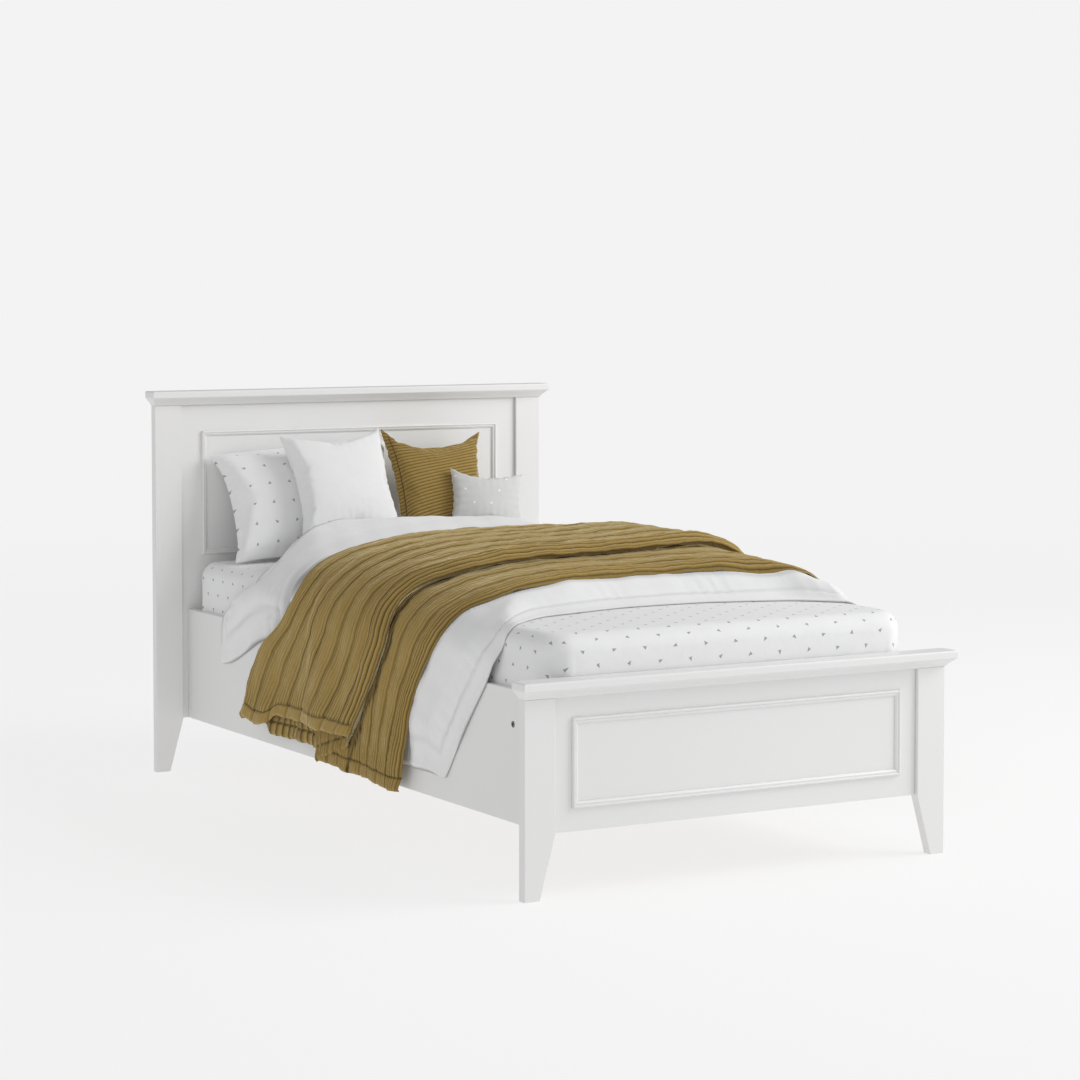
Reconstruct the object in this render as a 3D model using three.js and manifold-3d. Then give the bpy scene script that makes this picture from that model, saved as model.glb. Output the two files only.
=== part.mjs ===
// Single bed with a painted wooden frame, a slatted base, a mattress and a made-up set of bedding.
// Units are millimetres, Z is up, the foot of the bed faces -Y and the head faces +Y.
// The origin lies on the floor under the middle of the bed.
import * as THREE from "three";
import { mergeVertices } from "three/addons/utils/BufferGeometryUtils.js";
import Module from "manifold-3d";

const wasm = await Module();
wasm.setup();

// Mattress, the size that the frame is built round
const mattressWidth = 1000;
const mattressLength = 2000;
const mattressThickness = 180;
const mattressCrown = 12;
const mattressEdgeRadius = 38;
const mattressCornerRadius = 70;
const mattressSideGap = 2;
const mattressEndGap = 10;

// Clearances between pieces that meet
const jointGap = 0.3;
const restGap = 0.4;
const boreClearance = 0.4;
const cutOverrun = 5;

// Boards of the frame
const edgeBreak = 1.2;
const railThickness = 18;
const railHeight = 309;
const railBottomHeight = 148;
const panelThickness = 16;
const panelSetback = 10;
const legWidth = 80;
const footTipWidth = 40;
const legTaperHeight = 146;
const footboardReveal = 65;
const headboardReveal = 100;
const footboardHeight = 497;
const headboardHeight = 1075;

// Moulded cap on the two end boards
const capFasciaHeight = 21;
const capMouldHeight = 20;
const capFrontOverhang = 30;
const capSideOverhang = 16;
const capBackOverhang = 4;

// Flat moulding planted on the two panels
const beadWidth = 15;
const beadRise = 8;
const footBeadSideMargin = 48;
const footBeadBottomMargin = 53;
const footBeadTopMargin = 49;
const headBeadSideMargin = 65;
const headBeadBottomRise = 153;
const headBeadTopMargin = 74;

// Slatted base
const slatCount = 12;
const slatWidth = 70;
const slatThickness = 12;
const slatEdgeRadius = 4;
const slatEndGap = 2;
const ledgerWidth = 28;
const ledgerHeight = 40;
const ledgerTopDrop = 61;
const ledgerEndGap = 70;

// Bolts through the rails and the corner irons
const boltCount = 4;
const boltFootDistance = 142;
const boltHeadDistance = 280;
const boltHeadRadius = 7.5;
const boltHeadThickness = 3;
const boltHeadProud = 1;
const boltSocketRadius = 3;
const boltSocketDepth = 2;
const boltShankRadius = 3;
const boltTipGap = 4;
const ironArm = 45;
const ironThickness = 3;
const ironHeight = 130;
const ironBottomHeight = 190;
const ironHoleRadius = 2.5;
const ironHoleMargin = 22;
const ironBoltRadius = 3;
const ironBoltHeadRadius = 7;
const ironBoltHeadThickness = 4;
const ironBoltReach = 12;

// Fitted sheet, duvet and throw
const sheetThickness = 1.5;
const coverGap = 2;
const coverBendRise = 32;
const duvetSideThickness = 22;
const duvetHemThickness = 4;
const duvetRise = 96;
const duvetHeadRise = 33.5;
const duvetFootRise = 62;
const duvetRightRise = 18;
const duvetRightRiseReach = 400;
const duvetRightFullness = 6;
const duvetFootMargin = 187;
const duvetFootSweep = 265;
const duvetFromHeadboard = 248;
const duvetHeadSweep = 230;
const duvetFootRampLength = 115;
const duvetHeadRollLength = 200;
const duvetHemHeight = 262;
const duvetRaisedHemHeight = 427;
const duvetHeadHemHeight = 342;
const duvetFoldDepth = 7;
const duvetFoldPitch = 390;
const throwEdgeThickness = 4;
const throwLowerThickness = 7.5;
const throwDoubledThickness = 16;
const throwPleatThickness = 28;
const throwRidgeThickness = 37;
const throwRidgeWidth = 70;
const throwRidgeStep = 5;
const throwFootMargin = 332;
const throwFootSweep = 320;
const throwRidgeMargin = 639;
const throwRidgeSweep = 308;
const throwHeadMargin = 1242;
const throwHeadSweep = 310;
const throwPleatEndMargin = 1137;
const throwPleatEndLength = 70;
const throwHemHeight = 142;
const throwRidgeHemHeight = 158;
const throwFoldHemHeight = 190;
const throwHeadHemHeight = 216;
const throwGap = 0.9;

// Pillow and cushions: size of each cover, its place across the bed, how far its lower edge lies
// from the headboard and above or below the sheet's crown, and how it leans, turns and rolls
const pillowWidth = 560;
const pillowHeight = 380;
const pillowThickness = 109;
const pillowCornerDrop = 34;
const pillowCornerShift = 10;
const pillowLeftwards = 178;
const pillowFromHeadboard = 187.4;
const pillowSink = 5.5;
const pillowLeanDegrees = 28;
const whiteCushionWidth = 330;
const whiteCushionHeight = 320;
const whiteCushionThickness = 95;
const whiteCushionCornerRise = 16;
const whiteCushionCornerShift = 8;
const whiteCushionLowerShift = 12;
const whiteCushionLeftwards = 124;
const whiteCushionFromHeadboard = 268.4;
const whiteCushionRise = 59.3;
const whiteCushionLeanDegrees = 28;
const ochreCushionWidth = 325;
const ochreCushionHeight = 380;
const ochreCushionThickness = 100;
const ochreCushionFlange = 16;
const ochreCushionSag = 30;
const ochreCushionRightwards = 206;
const ochreCushionFromHeadboard = 214.7;
const ochreCushionSink = 5.1;
const ochreCushionLeanDegrees = 22;
const ochreCushionTurnDegrees = -3;
const greyCushionWidth = 218;
const greyCushionHeight = 172;
const greyCushionThickness = 75;
const greyCushionSag = 8;
const greyCushionRightwards = 294;
const greyCushionFromHeadboard = 276.8;
const greyCushionRise = 66;
const greyCushionLeanDegrees = 20;
const greyCushionTurnDegrees = -10;
const greyCushionRollDegrees = 6;
const coverSeamThickness = 3;

// Places worked out from the sizes above
const railInnerX = mattressWidth / 2 + mattressSideGap;
const railOuterX = railInnerX + railThickness;
const railTopHeight = railBottomHeight + railHeight;
const railLength = mattressLength + 2 * mattressEndGap;
const legThickness = panelSetback + panelThickness;
const footboardHalfWidth = railOuterX + footboardReveal;
const headboardHalfWidth = railOuterX + headboardReveal;
const capHeight = capFasciaHeight + capMouldHeight;
const totalDepth = capFrontOverhang + legThickness + railLength + panelThickness + capBackOverhang;
const footFaceY = capFrontOverhang - totalDepth / 2;
const footPanelY = footFaceY + panelSetback;
const footBackY = footFaceY + legThickness;
const headPanelY = footBackY + railLength;
const headFaceY = headPanelY - panelSetback;
const mattressCentreY = (footBackY + headPanelY) / 2;
const mattressFootY = mattressCentreY - mattressLength / 2;
const ledgerTopHeight = railTopHeight - ledgerTopDrop;
const slatTopHeight = ledgerTopHeight + jointGap + slatThickness;
const mattressBottomHeight = slatTopHeight + restGap;
const mattressTopHeight = mattressBottomHeight + mattressThickness;
const sheetTopHeight = mattressTopHeight + restGap + sheetThickness;

// The pillow leans on the headboard's panel or, where it stands higher than that, on the cap.
const pillowBottomHeight = sheetTopHeight + mattressCrown + restGap;
const pillowLean = THREE.MathUtils.degToRad(pillowLeanDegrees);
const pillowTopHeight =
  pillowBottomHeight + pillowHeight * Math.cos(pillowLean) + pillowThickness * Math.sin(pillowLean);
const leansOnCap = pillowTopHeight > headboardHeight - capHeight;
const pillowRestY = leansOnCap ? headFaceY - capFrontOverhang : headPanelY;

const paint = { color: 0xf0f0ee, roughness: 0.45, metalness: 0 };
const bareWood = { color: 0xd9bd8c, roughness: 0.7, metalness: 0 };
const steel = { color: 0x8f9194, roughness: 0.4, metalness: 0.9 };
const darkSteel = { color: 0x55585c, roughness: 0.35, metalness: 0.8 };
const whiteCotton = { color: 0xf2f2f2, roughness: 0.95, metalness: 0 };
const ochreRib = { color: 0x9a8250, roughness: 0.95, metalness: 0 };
const greyCotton = { color: 0xc9cac8, roughness: 0.95, metalness: 0 };

const bed = new THREE.Group();
bed.name = "single_bed";

function addPiece(name, geometry, finish, group = bed) {
  const mesh = new THREE.Mesh(geometry, new THREE.MeshStandardMaterial(finish));
  mesh.name = name;
  group.add(mesh);
  return mesh;
}

// The same piece on both sides of the bed: built on the right, mirrored to the left.
function addPair(name, geometry, finish, group = bed) {
  addPiece(name + "_right", geometry, finish, group);
  addPiece(name + "_left", geometry, finish, group).scale.x = -1;
}

function solidFrom(geometry) {
  const bare = geometry.clone();
  bare.deleteAttribute("normal");
  bare.deleteAttribute("uv");
  const merged = mergeVertices(bare);
  const vertProperties = merged.attributes.position.array;
  const triVerts = new Uint32Array(merged.index.array);
  return new wasm.Manifold(new wasm.Mesh({ numProp: 3, vertProperties, triVerts }));
}

function geometryFrom(solid) {
  const mesh = solid.getMesh();
  const indexed = new THREE.BufferGeometry();
  indexed.setAttribute("position", new THREE.BufferAttribute(mesh.vertProperties, mesh.numProp));
  indexed.setIndex(new THREE.BufferAttribute(mesh.triVerts, 1));
  const flat = indexed.toNonIndexed();
  flat.computeVertexNormals();
  return flat;
}

function cut(geometry, cutters) {
  let solid = solidFrom(geometry);
  for (const cutter of cutters) {
    solid = solid.subtract(solidFrom(cutter));
  }
  return geometryFrom(solid);
}

function polygon(points) {
  return new THREE.Shape(points.map(([across, up]) => new THREE.Vector2(across, up)));
}

function rectangle(left, right, bottom, top) {
  return polygon([[left, bottom], [right, bottom], [right, top], [left, top]]);
}

// Extrudes an outline along one axis, with both ends' arrises broken by a small chamfer.
// Along x the outline is drawn in y and z, along y in x and z, and along z in x and y.
function board(shape, axis, start, end, chamfer = edgeBreak) {
  const geometry = new THREE.ExtrudeGeometry(shape, {
    depth: end - start - 2 * chamfer,
    bevelEnabled: chamfer > 0,
    bevelThickness: chamfer,
    bevelSize: chamfer,
    bevelOffset: -chamfer,
    bevelSegments: 1,
    curveSegments: 6,
  });
  geometry.translate(0, 0, chamfer);
  const turn = new THREE.Matrix4();
  const xWay = new THREE.Vector3(1, 0, 0);
  const yWay = new THREE.Vector3(0, 1, 0);
  const zWay = new THREE.Vector3(0, 0, 1);
  if (axis === "x") {
    turn.makeBasis(yWay, zWay, xWay).setPosition(start, 0, 0);
  } else if (axis === "y") {
    turn.makeBasis(xWay, zWay, yWay.negate()).setPosition(0, end, 0);
  } else {
    turn.setPosition(0, 0, start);
  }
  return geometry.applyMatrix4(turn);
}

// A round bar along x or y between two places, used for bores and for bolts.
function bar(axis, start, end, across, height, radius, sides = 14) {
  const geometry = new THREE.CylinderGeometry(radius, radius, end - start, sides);
  if (axis === "x") {
    geometry.rotateZ(Math.PI / 2);
    geometry.translate((start + end) / 2, across, height);
  } else {
    geometry.translate(across, (start + end) / 2, height);
  }
  return geometry;
}

// End boards

// A leg: straight outside, tapering from the panel's lower edge to a narrow foot on the inside.
function endLeg(halfWidth, faceY, boardHeight) {
  const inner = halfWidth - legWidth;
  const top = boardHeight - capHeight - jointGap;
  const outline = polygon([
    [halfWidth - footTipWidth, 0],
    [halfWidth, 0],
    [halfWidth, top],
    [inner, top],
    [inner, legTaperHeight],
  ]);
  return board(outline, "y", faceY, faceY + legThickness);
}

// The cap is one moulded board. Each row gives a height above the legs as a share of the mould
// and of the fascia, and how much of the overhang the moulding has reached there.
const capMouldShares = [[0, 0], [0.1, 0.1], [0.3, 0.2], [0.55, 0.42], [0.8, 0.7], [1, 0.84]];
const capFasciaShares = [[0.03, 0.93], [0.16, 1], [0.82, 1], [0.94, 0.96], [1, 0.86]];

function endCap(halfWidth, faceY, boardHeight) {
  const bottom = boardHeight - capHeight;
  const levels = [];
  for (const [heightShare, overhangShare] of capMouldShares) {
    levels.push([bottom + heightShare * capMouldHeight, overhangShare]);
  }
  for (const [heightShare, overhangShare] of capFasciaShares) {
    levels.push([bottom + capMouldHeight + heightShare * capFasciaHeight, overhangShare]);
  }
  const rings = levels.map(([height, share]) => {
    const x = halfWidth + share * capSideOverhang;
    const front = faceY - share * capFrontOverhang;
    const back = faceY + legThickness + share * capBackOverhang;
    return [[-x, front, height], [x, front, height], [x, back, height], [-x, back, height]];
  });
  return loft(rings);
}

// Joins a stack of rings with equal numbers of points, and closes the first and the last.
function loft(rings) {
  const sides = rings[0].length;
  const positions = rings.flat(2);
  const index = [];
  for (let level = 0; level < rings.length - 1; level++) {
    for (let side = 0; side < sides; side++) {
      const a = level * sides + side;
      const b = level * sides + ((side + 1) % sides);
      index.push(a, b, b + sides, a, b + sides, a + sides);
    }
  }
  const last = (rings.length - 1) * sides;
  for (let side = 1; side < sides - 1; side++) {
    index.push(0, side + 1, side);
    index.push(last, last + side, last + side + 1);
  }
  return surface(positions, index);
}

function surface(positions, index) {
  const geometry = new THREE.BufferGeometry();
  geometry.setAttribute("position", new THREE.Float32BufferAttribute(positions, 3));
  geometry.setIndex(index);
  geometry.computeVertexNormals();
  return geometry;
}

// Section of the planted moulding, from its outer edge inwards, as shares of its width and rise:
// a round outer bead, a quirk and a lower inner bead that slopes to the panel.
const beadShares = [
  [0, 0], [0, 0.62], [0.08, 0.88], [0.22, 1], [0.38, 0.88], [0.46, 0.6],
  [0.56, 0.7], [0.7, 0.66], [0.84, 0.46], [1, 0.16], [1, 0],
];

// A strip of the moulding, mitred at both ends, lying along +X with its outer edge on the axis.
function beadStrip(length) {
  const section = polygon(beadShares.map(([across, rise]) => [across * beadWidth, rise * beadRise]));
  const geometry = new THREE.ExtrudeGeometry(section, { depth: 1, bevelEnabled: false });
  const place = geometry.attributes.position;
  for (let i = 0; i < place.count; i++) {
    const across = place.getX(i);
    const rise = place.getY(i);
    const mitre = across + jointGap / 2;
    const along = place.getZ(i) > 0 ? length - mitre : mitre;
    place.setXYZ(i, along, -rise, across);
  }
  geometry.computeVertexNormals();
  return geometry;
}

// The four mitred strips that frame a panel.
function addBeads(boardName, panelFaceY, halfWidth, bottom, top) {
  const wide = beadStrip(2 * halfWidth);
  const tall = beadStrip(top - bottom);
  const y = panelFaceY - jointGap;
  const lower = addPiece(boardName + "_bead_bottom", wide, paint);
  lower.position.set(-halfWidth, y, bottom);
  const upper = addPiece(boardName + "_bead_top", wide, paint);
  upper.position.set(halfWidth, y, top);
  upper.rotation.y = Math.PI;
  const right = addPiece(boardName + "_bead_right", tall, paint);
  right.position.set(halfWidth, y, bottom);
  right.rotation.y = -Math.PI / 2;
  const left = addPiece(boardName + "_bead_left", tall, paint);
  left.position.set(-halfWidth, y, top);
  left.rotation.y = Math.PI / 2;
}

// A panel between the legs, bored on its inner face for the bolts of the two corner irons.
function endPanel(halfWidth, faceY, boardHeight, boltFaceY, boltWay) {
  const x = halfWidth - legWidth - jointGap;
  const top = boardHeight - capHeight - jointGap;
  const blank = board(rectangle(-x, x, railBottomHeight, top), "y", faceY, faceY + panelThickness);
  const bores = [];
  for (const side of [-1, 1]) {
    for (const height of ironBoltHeights) {
      const inner = boltFaceY + boltWay * (ironBoltReach + boreClearance);
      const outer = boltFaceY - boltWay * cutOverrun;
      const radius = ironBoltRadius + boreClearance;
      const across = side * ironBoltX;
      bores.push(bar("y", Math.min(inner, outer), Math.max(inner, outer), across, height, radius));
    }
  }
  return cut(blank, bores);
}

const ironBoltX = railInnerX - ironHoleMargin;
const ironBoltHeights = [ironBottomHeight + ironHeight / 2];
const ironScrewHeights = [ironBottomHeight + ironHoleMargin, ironBottomHeight + ironHeight - ironHoleMargin];

addPair("footboard_leg", endLeg(footboardHalfWidth, footFaceY, footboardHeight), paint);
addPiece("footboard_panel", endPanel(footboardHalfWidth, footPanelY, footboardHeight, footBackY, -1), paint);
addPiece("footboard_cap", endCap(footboardHalfWidth, footFaceY, footboardHeight), paint);
addBeads(
  "footboard",
  footPanelY,
  footboardHalfWidth - legWidth - footBeadSideMargin,
  railBottomHeight + footBeadBottomMargin,
  footboardHeight - capHeight - footBeadTopMargin,
);

addPair("headboard_leg", endLeg(headboardHalfWidth, headFaceY, headboardHeight), paint);
addPiece("headboard_panel", endPanel(headboardHalfWidth, headPanelY, headboardHeight, headPanelY, 1), paint);
addPiece("headboard_cap", endCap(headboardHalfWidth, headFaceY, headboardHeight), paint);
addBeads(
  "headboard",
  headPanelY,
  headboardHalfWidth - legWidth - headBeadSideMargin,
  railTopHeight + headBeadBottomRise,
  headboardHeight - capHeight - headBeadTopMargin,
);

// Side rails, with the ledgers that carry the slats and the bolts that hold them

const boltHeight = ledgerTopHeight - ledgerHeight / 2;
const boltPlaces = [];
for (let i = 0; i < boltCount; i++) {
  const firstY = footBackY + boltFootDistance;
  const lastY = headPanelY - boltHeadDistance;
  boltPlaces.push(firstY + ((lastY - firstY) * i) / (boltCount - 1));
}
const boltSeatX = railOuterX + boltHeadProud - boltHeadThickness;
const ledgerOuterX = railInnerX - jointGap;
const ledgerInnerX = ledgerOuterX - ledgerWidth;

function sideRail() {
  const outline = rectangle(footBackY + jointGap, headPanelY - jointGap, railBottomHeight, railTopHeight);
  const blank = board(outline, "x", railInnerX, railOuterX);
  const cutters = [];
  for (const y of boltPlaces) {
    const headRadius = boltHeadRadius + boreClearance;
    const shankRadius = boltShankRadius + boreClearance;
    const seat = boltSeatX - jointGap;
    cutters.push(bar("x", seat, railOuterX + cutOverrun, y, boltHeight, headRadius));
    cutters.push(bar("x", railInnerX - cutOverrun, railOuterX, y, boltHeight, shankRadius));
  }
  return cut(blank, cutters);
}

function slatLedger() {
  const bottom = ledgerTopHeight - ledgerHeight;
  const outline = rectangle(footBackY + ledgerEndGap, headPanelY - ledgerEndGap, bottom, ledgerTopHeight);
  const blank = board(outline, "x", ledgerInnerX, ledgerOuterX);
  const cutters = boltPlaces.map((y) => {
    const start = ledgerInnerX - cutOverrun;
    const end = ledgerOuterX + cutOverrun;
    return bar("x", start, end, y, boltHeight, boltShankRadius + boreClearance);
  });
  return cut(blank, cutters);
}

// A round-headed bolt with a shallow socket, turned about its own axis.
function ledgerBolt(y) {
  const length = railOuterX + boltHeadProud - (ledgerInnerX + boltTipGap);
  const profile = [
    [0, 0],
    [boltShankRadius, 0],
    [boltShankRadius, length - boltHeadThickness],
    [boltHeadRadius, length - boltHeadThickness],
    [boltHeadRadius, length - boltHeadProud],
    [boltHeadRadius - boltHeadProud, length],
    [boltSocketRadius, length],
    [boltSocketRadius, length - boltSocketDepth],
    [0, length - boltSocketDepth],
  ];
  const geometry = new THREE.LatheGeometry(profile.map(([r, h]) => new THREE.Vector2(r, h)), 14);
  geometry.rotateZ(-Math.PI / 2);
  geometry.translate(railOuterX + boltHeadProud - length, y, boltHeight);
  return geometry;
}

addPair("side_rail", sideRail(), paint);
addPair("slat_ledger", slatLedger(), bareWood);
boltPlaces.forEach((y, i) => {
  addPair("ledger_bolt_" + (i + 1), ledgerBolt(y), darkSteel);
});

// Slats with rounded long edges, laid across the two ledgers at an even pitch

function slat(centreY) {
  const bottom = ledgerTopHeight + jointGap;
  const top = bottom + slatThickness;
  const front = centreY - slatWidth / 2;
  const back = centreY + slatWidth / 2;
  const r = slatEdgeRadius;
  const outline = new THREE.Shape();
  outline.moveTo(front + r, bottom);
  outline.lineTo(back - r, bottom);
  outline.absarc(back - r, bottom + r, r, -Math.PI / 2, 0, false);
  outline.absarc(back - r, top - r, r, 0, Math.PI / 2, false);
  outline.absarc(front + r, top - r, r, Math.PI / 2, Math.PI, false);
  outline.absarc(front + r, bottom + r, r, Math.PI, (3 * Math.PI) / 2, false);
  const halfLength = railInnerX - slatEndGap;
  return new THREE.ExtrudeGeometry(outline, {
    depth: 2 * halfLength,
    bevelEnabled: false,
    curveSegments: 3,
  }).applyMatrix4(
    new THREE.Matrix4()
      .makeBasis(new THREE.Vector3(0, 1, 0), new THREE.Vector3(0, 0, 1), new THREE.Vector3(1, 0, 0))
      .setPosition(-halfLength, 0, 0),
  );
}

const slatPitch = mattressLength / slatCount;
for (let i = 0; i < slatCount; i++) {
  const number = String(i + 1).padStart(2, "0");
  addPiece("slat_" + number, slat(mattressFootY + (i + 0.5) * slatPitch), bareWood);
}

// Corner irons that join the rails to the end boards, each with one bolt into the panel

function cornerIron(panelY, way) {
  const railFace = railInnerX - jointGap;
  const panelFace = panelY + way * jointGap;
  const far = panelFace + way * ironArm;
  const inner = panelFace + way * ironThickness;
  const outline = polygon([
    [railFace, panelFace],
    [railFace, far],
    [railFace - ironThickness, far],
    [railFace - ironThickness, inner],
    [railFace - ironArm, inner],
    [railFace - ironArm, panelFace],
  ]);
  const blank = board(outline, "z", ironBottomHeight, ironBottomHeight + ironHeight, 0);
  const cutters = [];
  const screwY = panelFace + way * ironHoleMargin;
  const yStart = Math.min(panelFace, inner) - cutOverrun;
  const yEnd = Math.max(panelFace, inner) + cutOverrun;
  for (const height of ironScrewHeights) {
    const start = railFace - ironThickness - cutOverrun;
    cutters.push(bar("x", start, railFace + cutOverrun, screwY, height, ironHoleRadius, 10));
    cutters.push(bar("y", yStart, yEnd, ironBoltX, height, ironHoleRadius, 10));
  }
  for (const height of ironBoltHeights) {
    cutters.push(bar("y", yStart, yEnd, ironBoltX, height, ironBoltRadius + boreClearance));
  }
  return cut(blank, cutters);
}

function ironBolt(panelY, way) {
  const seat = panelY + way * (ironThickness + 2 * jointGap);
  const tip = panelY - way * ironBoltReach;
  const height = ironBoltHeights[0];
  const profile = [
    [0, 0],
    [ironBoltRadius, 0],
    [ironBoltRadius, Math.abs(seat - tip)],
    [ironBoltHeadRadius, Math.abs(seat - tip)],
    [ironBoltHeadRadius, Math.abs(seat - tip) + ironBoltHeadThickness / 2],
    [ironBoltHeadRadius / 2, Math.abs(seat - tip) + ironBoltHeadThickness],
    [0, Math.abs(seat - tip) + ironBoltHeadThickness],
  ];
  const geometry = new THREE.LatheGeometry(profile.map(([r, h]) => new THREE.Vector2(r, h)), 12);
  if (way < 0) {
    geometry.rotateX(Math.PI);
  }
  geometry.translate(ironBoltX, tip, height);
  return geometry;
}

addPair("corner_iron_foot", cornerIron(footBackY, 1), steel);
addPair("corner_iron_head", cornerIron(headPanelY, -1), steel);
addPair("iron_bolt_foot", ironBolt(footBackY, 1), darkSteel);
addPair("iron_bolt_head", ironBolt(headPanelY, -1), darkSteel);

// Mattress and fitted sheet

// Places of the grid lines along one side: close together in the rounded edge, even between.
const edgeLineShare = 0.3;

function gridLines(half, radius, innerSteps) {
  const edgeLine = half - edgeLineShare * radius;
  const lines = [-half, -edgeLine];
  for (let i = 0; i <= innerSteps; i++) {
    lines.push((half - radius) * ((2 * i) / innerSteps - 1));
  }
  lines.push(edgeLine, half);
  return lines;
}

// A block of foam: rounded upright corners, rounded edges, and a top that crowns to the middle.
// The bottom can reach lower, for the hollow of a cover that is open underneath.
function foamBlock(grow, lowerBy) {
  const halfX = mattressWidth / 2 + grow;
  const halfY = mattressLength / 2 + grow;
  const halfZ = mattressThickness / 2 + grow;
  const edge = mattressEdgeRadius + grow;
  const corner = mattressCornerRadius + grow;
  const xs = gridLines(halfX, corner, 4);
  const ys = gridLines(halfY, corner, 6);
  const zs = gridLines(halfZ, edge, 1);
  const steps = [xs.length - 1, ys.length - 1, zs.length - 1];
  const block = new THREE.BoxGeometry(1, 1, 1, ...steps);
  const place = block.attributes.position;
  for (let i = 0; i < place.count; i++) {
    const x = xs[Math.round((place.getX(i) + 0.5) * steps[0])];
    const y = ys[Math.round((place.getY(i) + 0.5) * steps[1])];
    const z = zs[Math.round((place.getZ(i) + 0.5) * steps[2])];
    const point = roundedPoint(x, y, z, halfX, halfY, halfZ, corner, edge);
    const middle = (1 - (x / halfX) ** 2) * (1 - (y / halfY) ** 4);
    const crown = z > 0 ? (mattressCrown * middle * z) / halfZ : 0;
    const drop = z < 0 ? (lowerBy * -z) / halfZ : 0;
    place.setXYZ(i, point.x, point.y, point.z + crown - drop);
  }
  block.translate(0, mattressCentreY, mattressBottomHeight + mattressThickness / 2);
  return block;
}

// Draws a point of a box in to its rounded upright corner first, then to its rounded edge.
function roundedPoint(x, y, z, halfX, halfY, halfZ, corner, edge) {
  const innerX = THREE.MathUtils.clamp(x, corner - halfX, halfX - corner);
  const innerY = THREE.MathUtils.clamp(y, corner - halfY, halfY - corner);
  const out = new THREE.Vector2(x - innerX, y - innerY);
  const reach = Math.max(Math.abs(out.x), Math.abs(out.y));
  if (out.length() > 0) {
    out.setLength(reach);
  }
  const fromTop = Math.max(0, Math.abs(z) - (halfZ - edge));
  const atWall = reach >= corner - edge ? (reach - (corner - edge)) / edge : 0;
  const rise = fromTop / edge;
  const length = Math.hypot(atWall, rise);
  const scale = length > 0 ? Math.max(atWall, rise) / length : 1;
  const wall = corner - edge + atWall * scale * edge;
  if (atWall > 0) {
    out.setLength(wall);
  }
  const height = Math.sign(z) * (halfZ - edge + rise * scale * edge);
  return new THREE.Vector3(innerX + out.x, innerY + out.y, rise > 0 ? height : z);
}

addPiece("mattress", foamBlock(0, 0), whiteCotton);

// The fitted sheet: a thin skin over the top and the sides, open underneath.
function fittedSheet() {
  const outer = foamBlock(restGap + sheetThickness, 0);
  const hollow = foamBlock(restGap, mattressThickness / 2);
  const skin = solidFrom(outer).subtract(solidFrom(hollow));
  return geometryFrom(skin);
}

addPiece("fitted_sheet", fittedSheet(), whiteCotton);

// Sheets and cushions as slabs

// A closed slab between a face and a backing, both given over u and v from 0 to 1.
function slab(uSteps, vSteps, facePoint, backPoint) {
  const positions = [];
  for (const pointAt of [facePoint, backPoint]) {
    for (let j = 0; j <= vSteps; j++) {
      for (let i = 0; i <= uSteps; i++) {
        positions.push(...pointAt(i / uSteps, j / vSteps).toArray());
      }
    }
  }
  const count = (uSteps + 1) * (vSteps + 1);
  const index = [];
  const quad = (a, b, c, d) => index.push(a, b, c, a, c, d);
  const at = (i, j) => j * (uSteps + 1) + i;
  for (let j = 0; j < vSteps; j++) {
    for (let i = 0; i < uSteps; i++) {
      quad(at(i, j), at(i + 1, j), at(i + 1, j + 1), at(i, j + 1));
      quad(count + at(i, j), count + at(i, j + 1), count + at(i + 1, j + 1), count + at(i + 1, j));
    }
  }
  const edge = (a, b) => quad(b, a, a + count, b + count);
  for (let i = 0; i < uSteps; i++) {
    edge(at(i, 0), at(i + 1, 0));
    edge(at(i + 1, vSteps), at(i, vSteps));
  }
  for (let j = 0; j < vSteps; j++) {
    edge(at(0, j + 1), at(0, j));
    edge(at(uSteps, j), at(uSteps, j + 1));
  }
  return surface(positions, index);
}

function smoothStep(value) {
  return THREE.MathUtils.smoothstep(value, 0, 1);
}

// Cross-sections of the bedding. A section runs in steps from the middle of the bed over the top,
// round the shoulder and down to the hem, on the left with negative steps.
const archShares = [0, 0.18, 0.36, 0.54, 0.7, 0.83, 0.92, 0.98, 1];
const archFlatness = 3.3;
const squareArchFlatness = 5;
const archCrest = 0.45;
const crownSteps = 5;
const springStep = archShares.length - 1;
const duvetHangShares = [0.2, 0.4, 0.6, 0.8, 1];
const throwHangShares = [0.24, 0.48, 0.7, 0.735, 1];
const halfSteps = springStep + duvetHangShares.length;
const sectionSteps = 2 * halfSteps;

const stepAt = (u) => Math.round(u * sectionSteps) - halfSteps;

function hangHeight(step, hangShares, startHeight, hemHeight) {
  return startHeight + (hemHeight - startHeight) * hangShares[Math.abs(step) - springStep - 1];
}

// A flattened arch from the top to its springing, and a straight drop below it.
function archPoint(step, flatness, halfWidth, topHeight, hangShares, hemHeight) {
  const side = Math.sign(step);
  if (Math.abs(step) > springStep) {
    return new THREE.Vector2(side * halfWidth, hangHeight(step, hangShares, duvetSpringHeight, hemHeight));
  }
  const share = archShares[Math.abs(step)];
  const rise = (1 - share ** flatness) ** archCrest;
  const height = duvetSpringHeight + (topHeight - duvetSpringHeight) * rise;
  return new THREE.Vector2(side * share * halfWidth, height);
}

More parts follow.
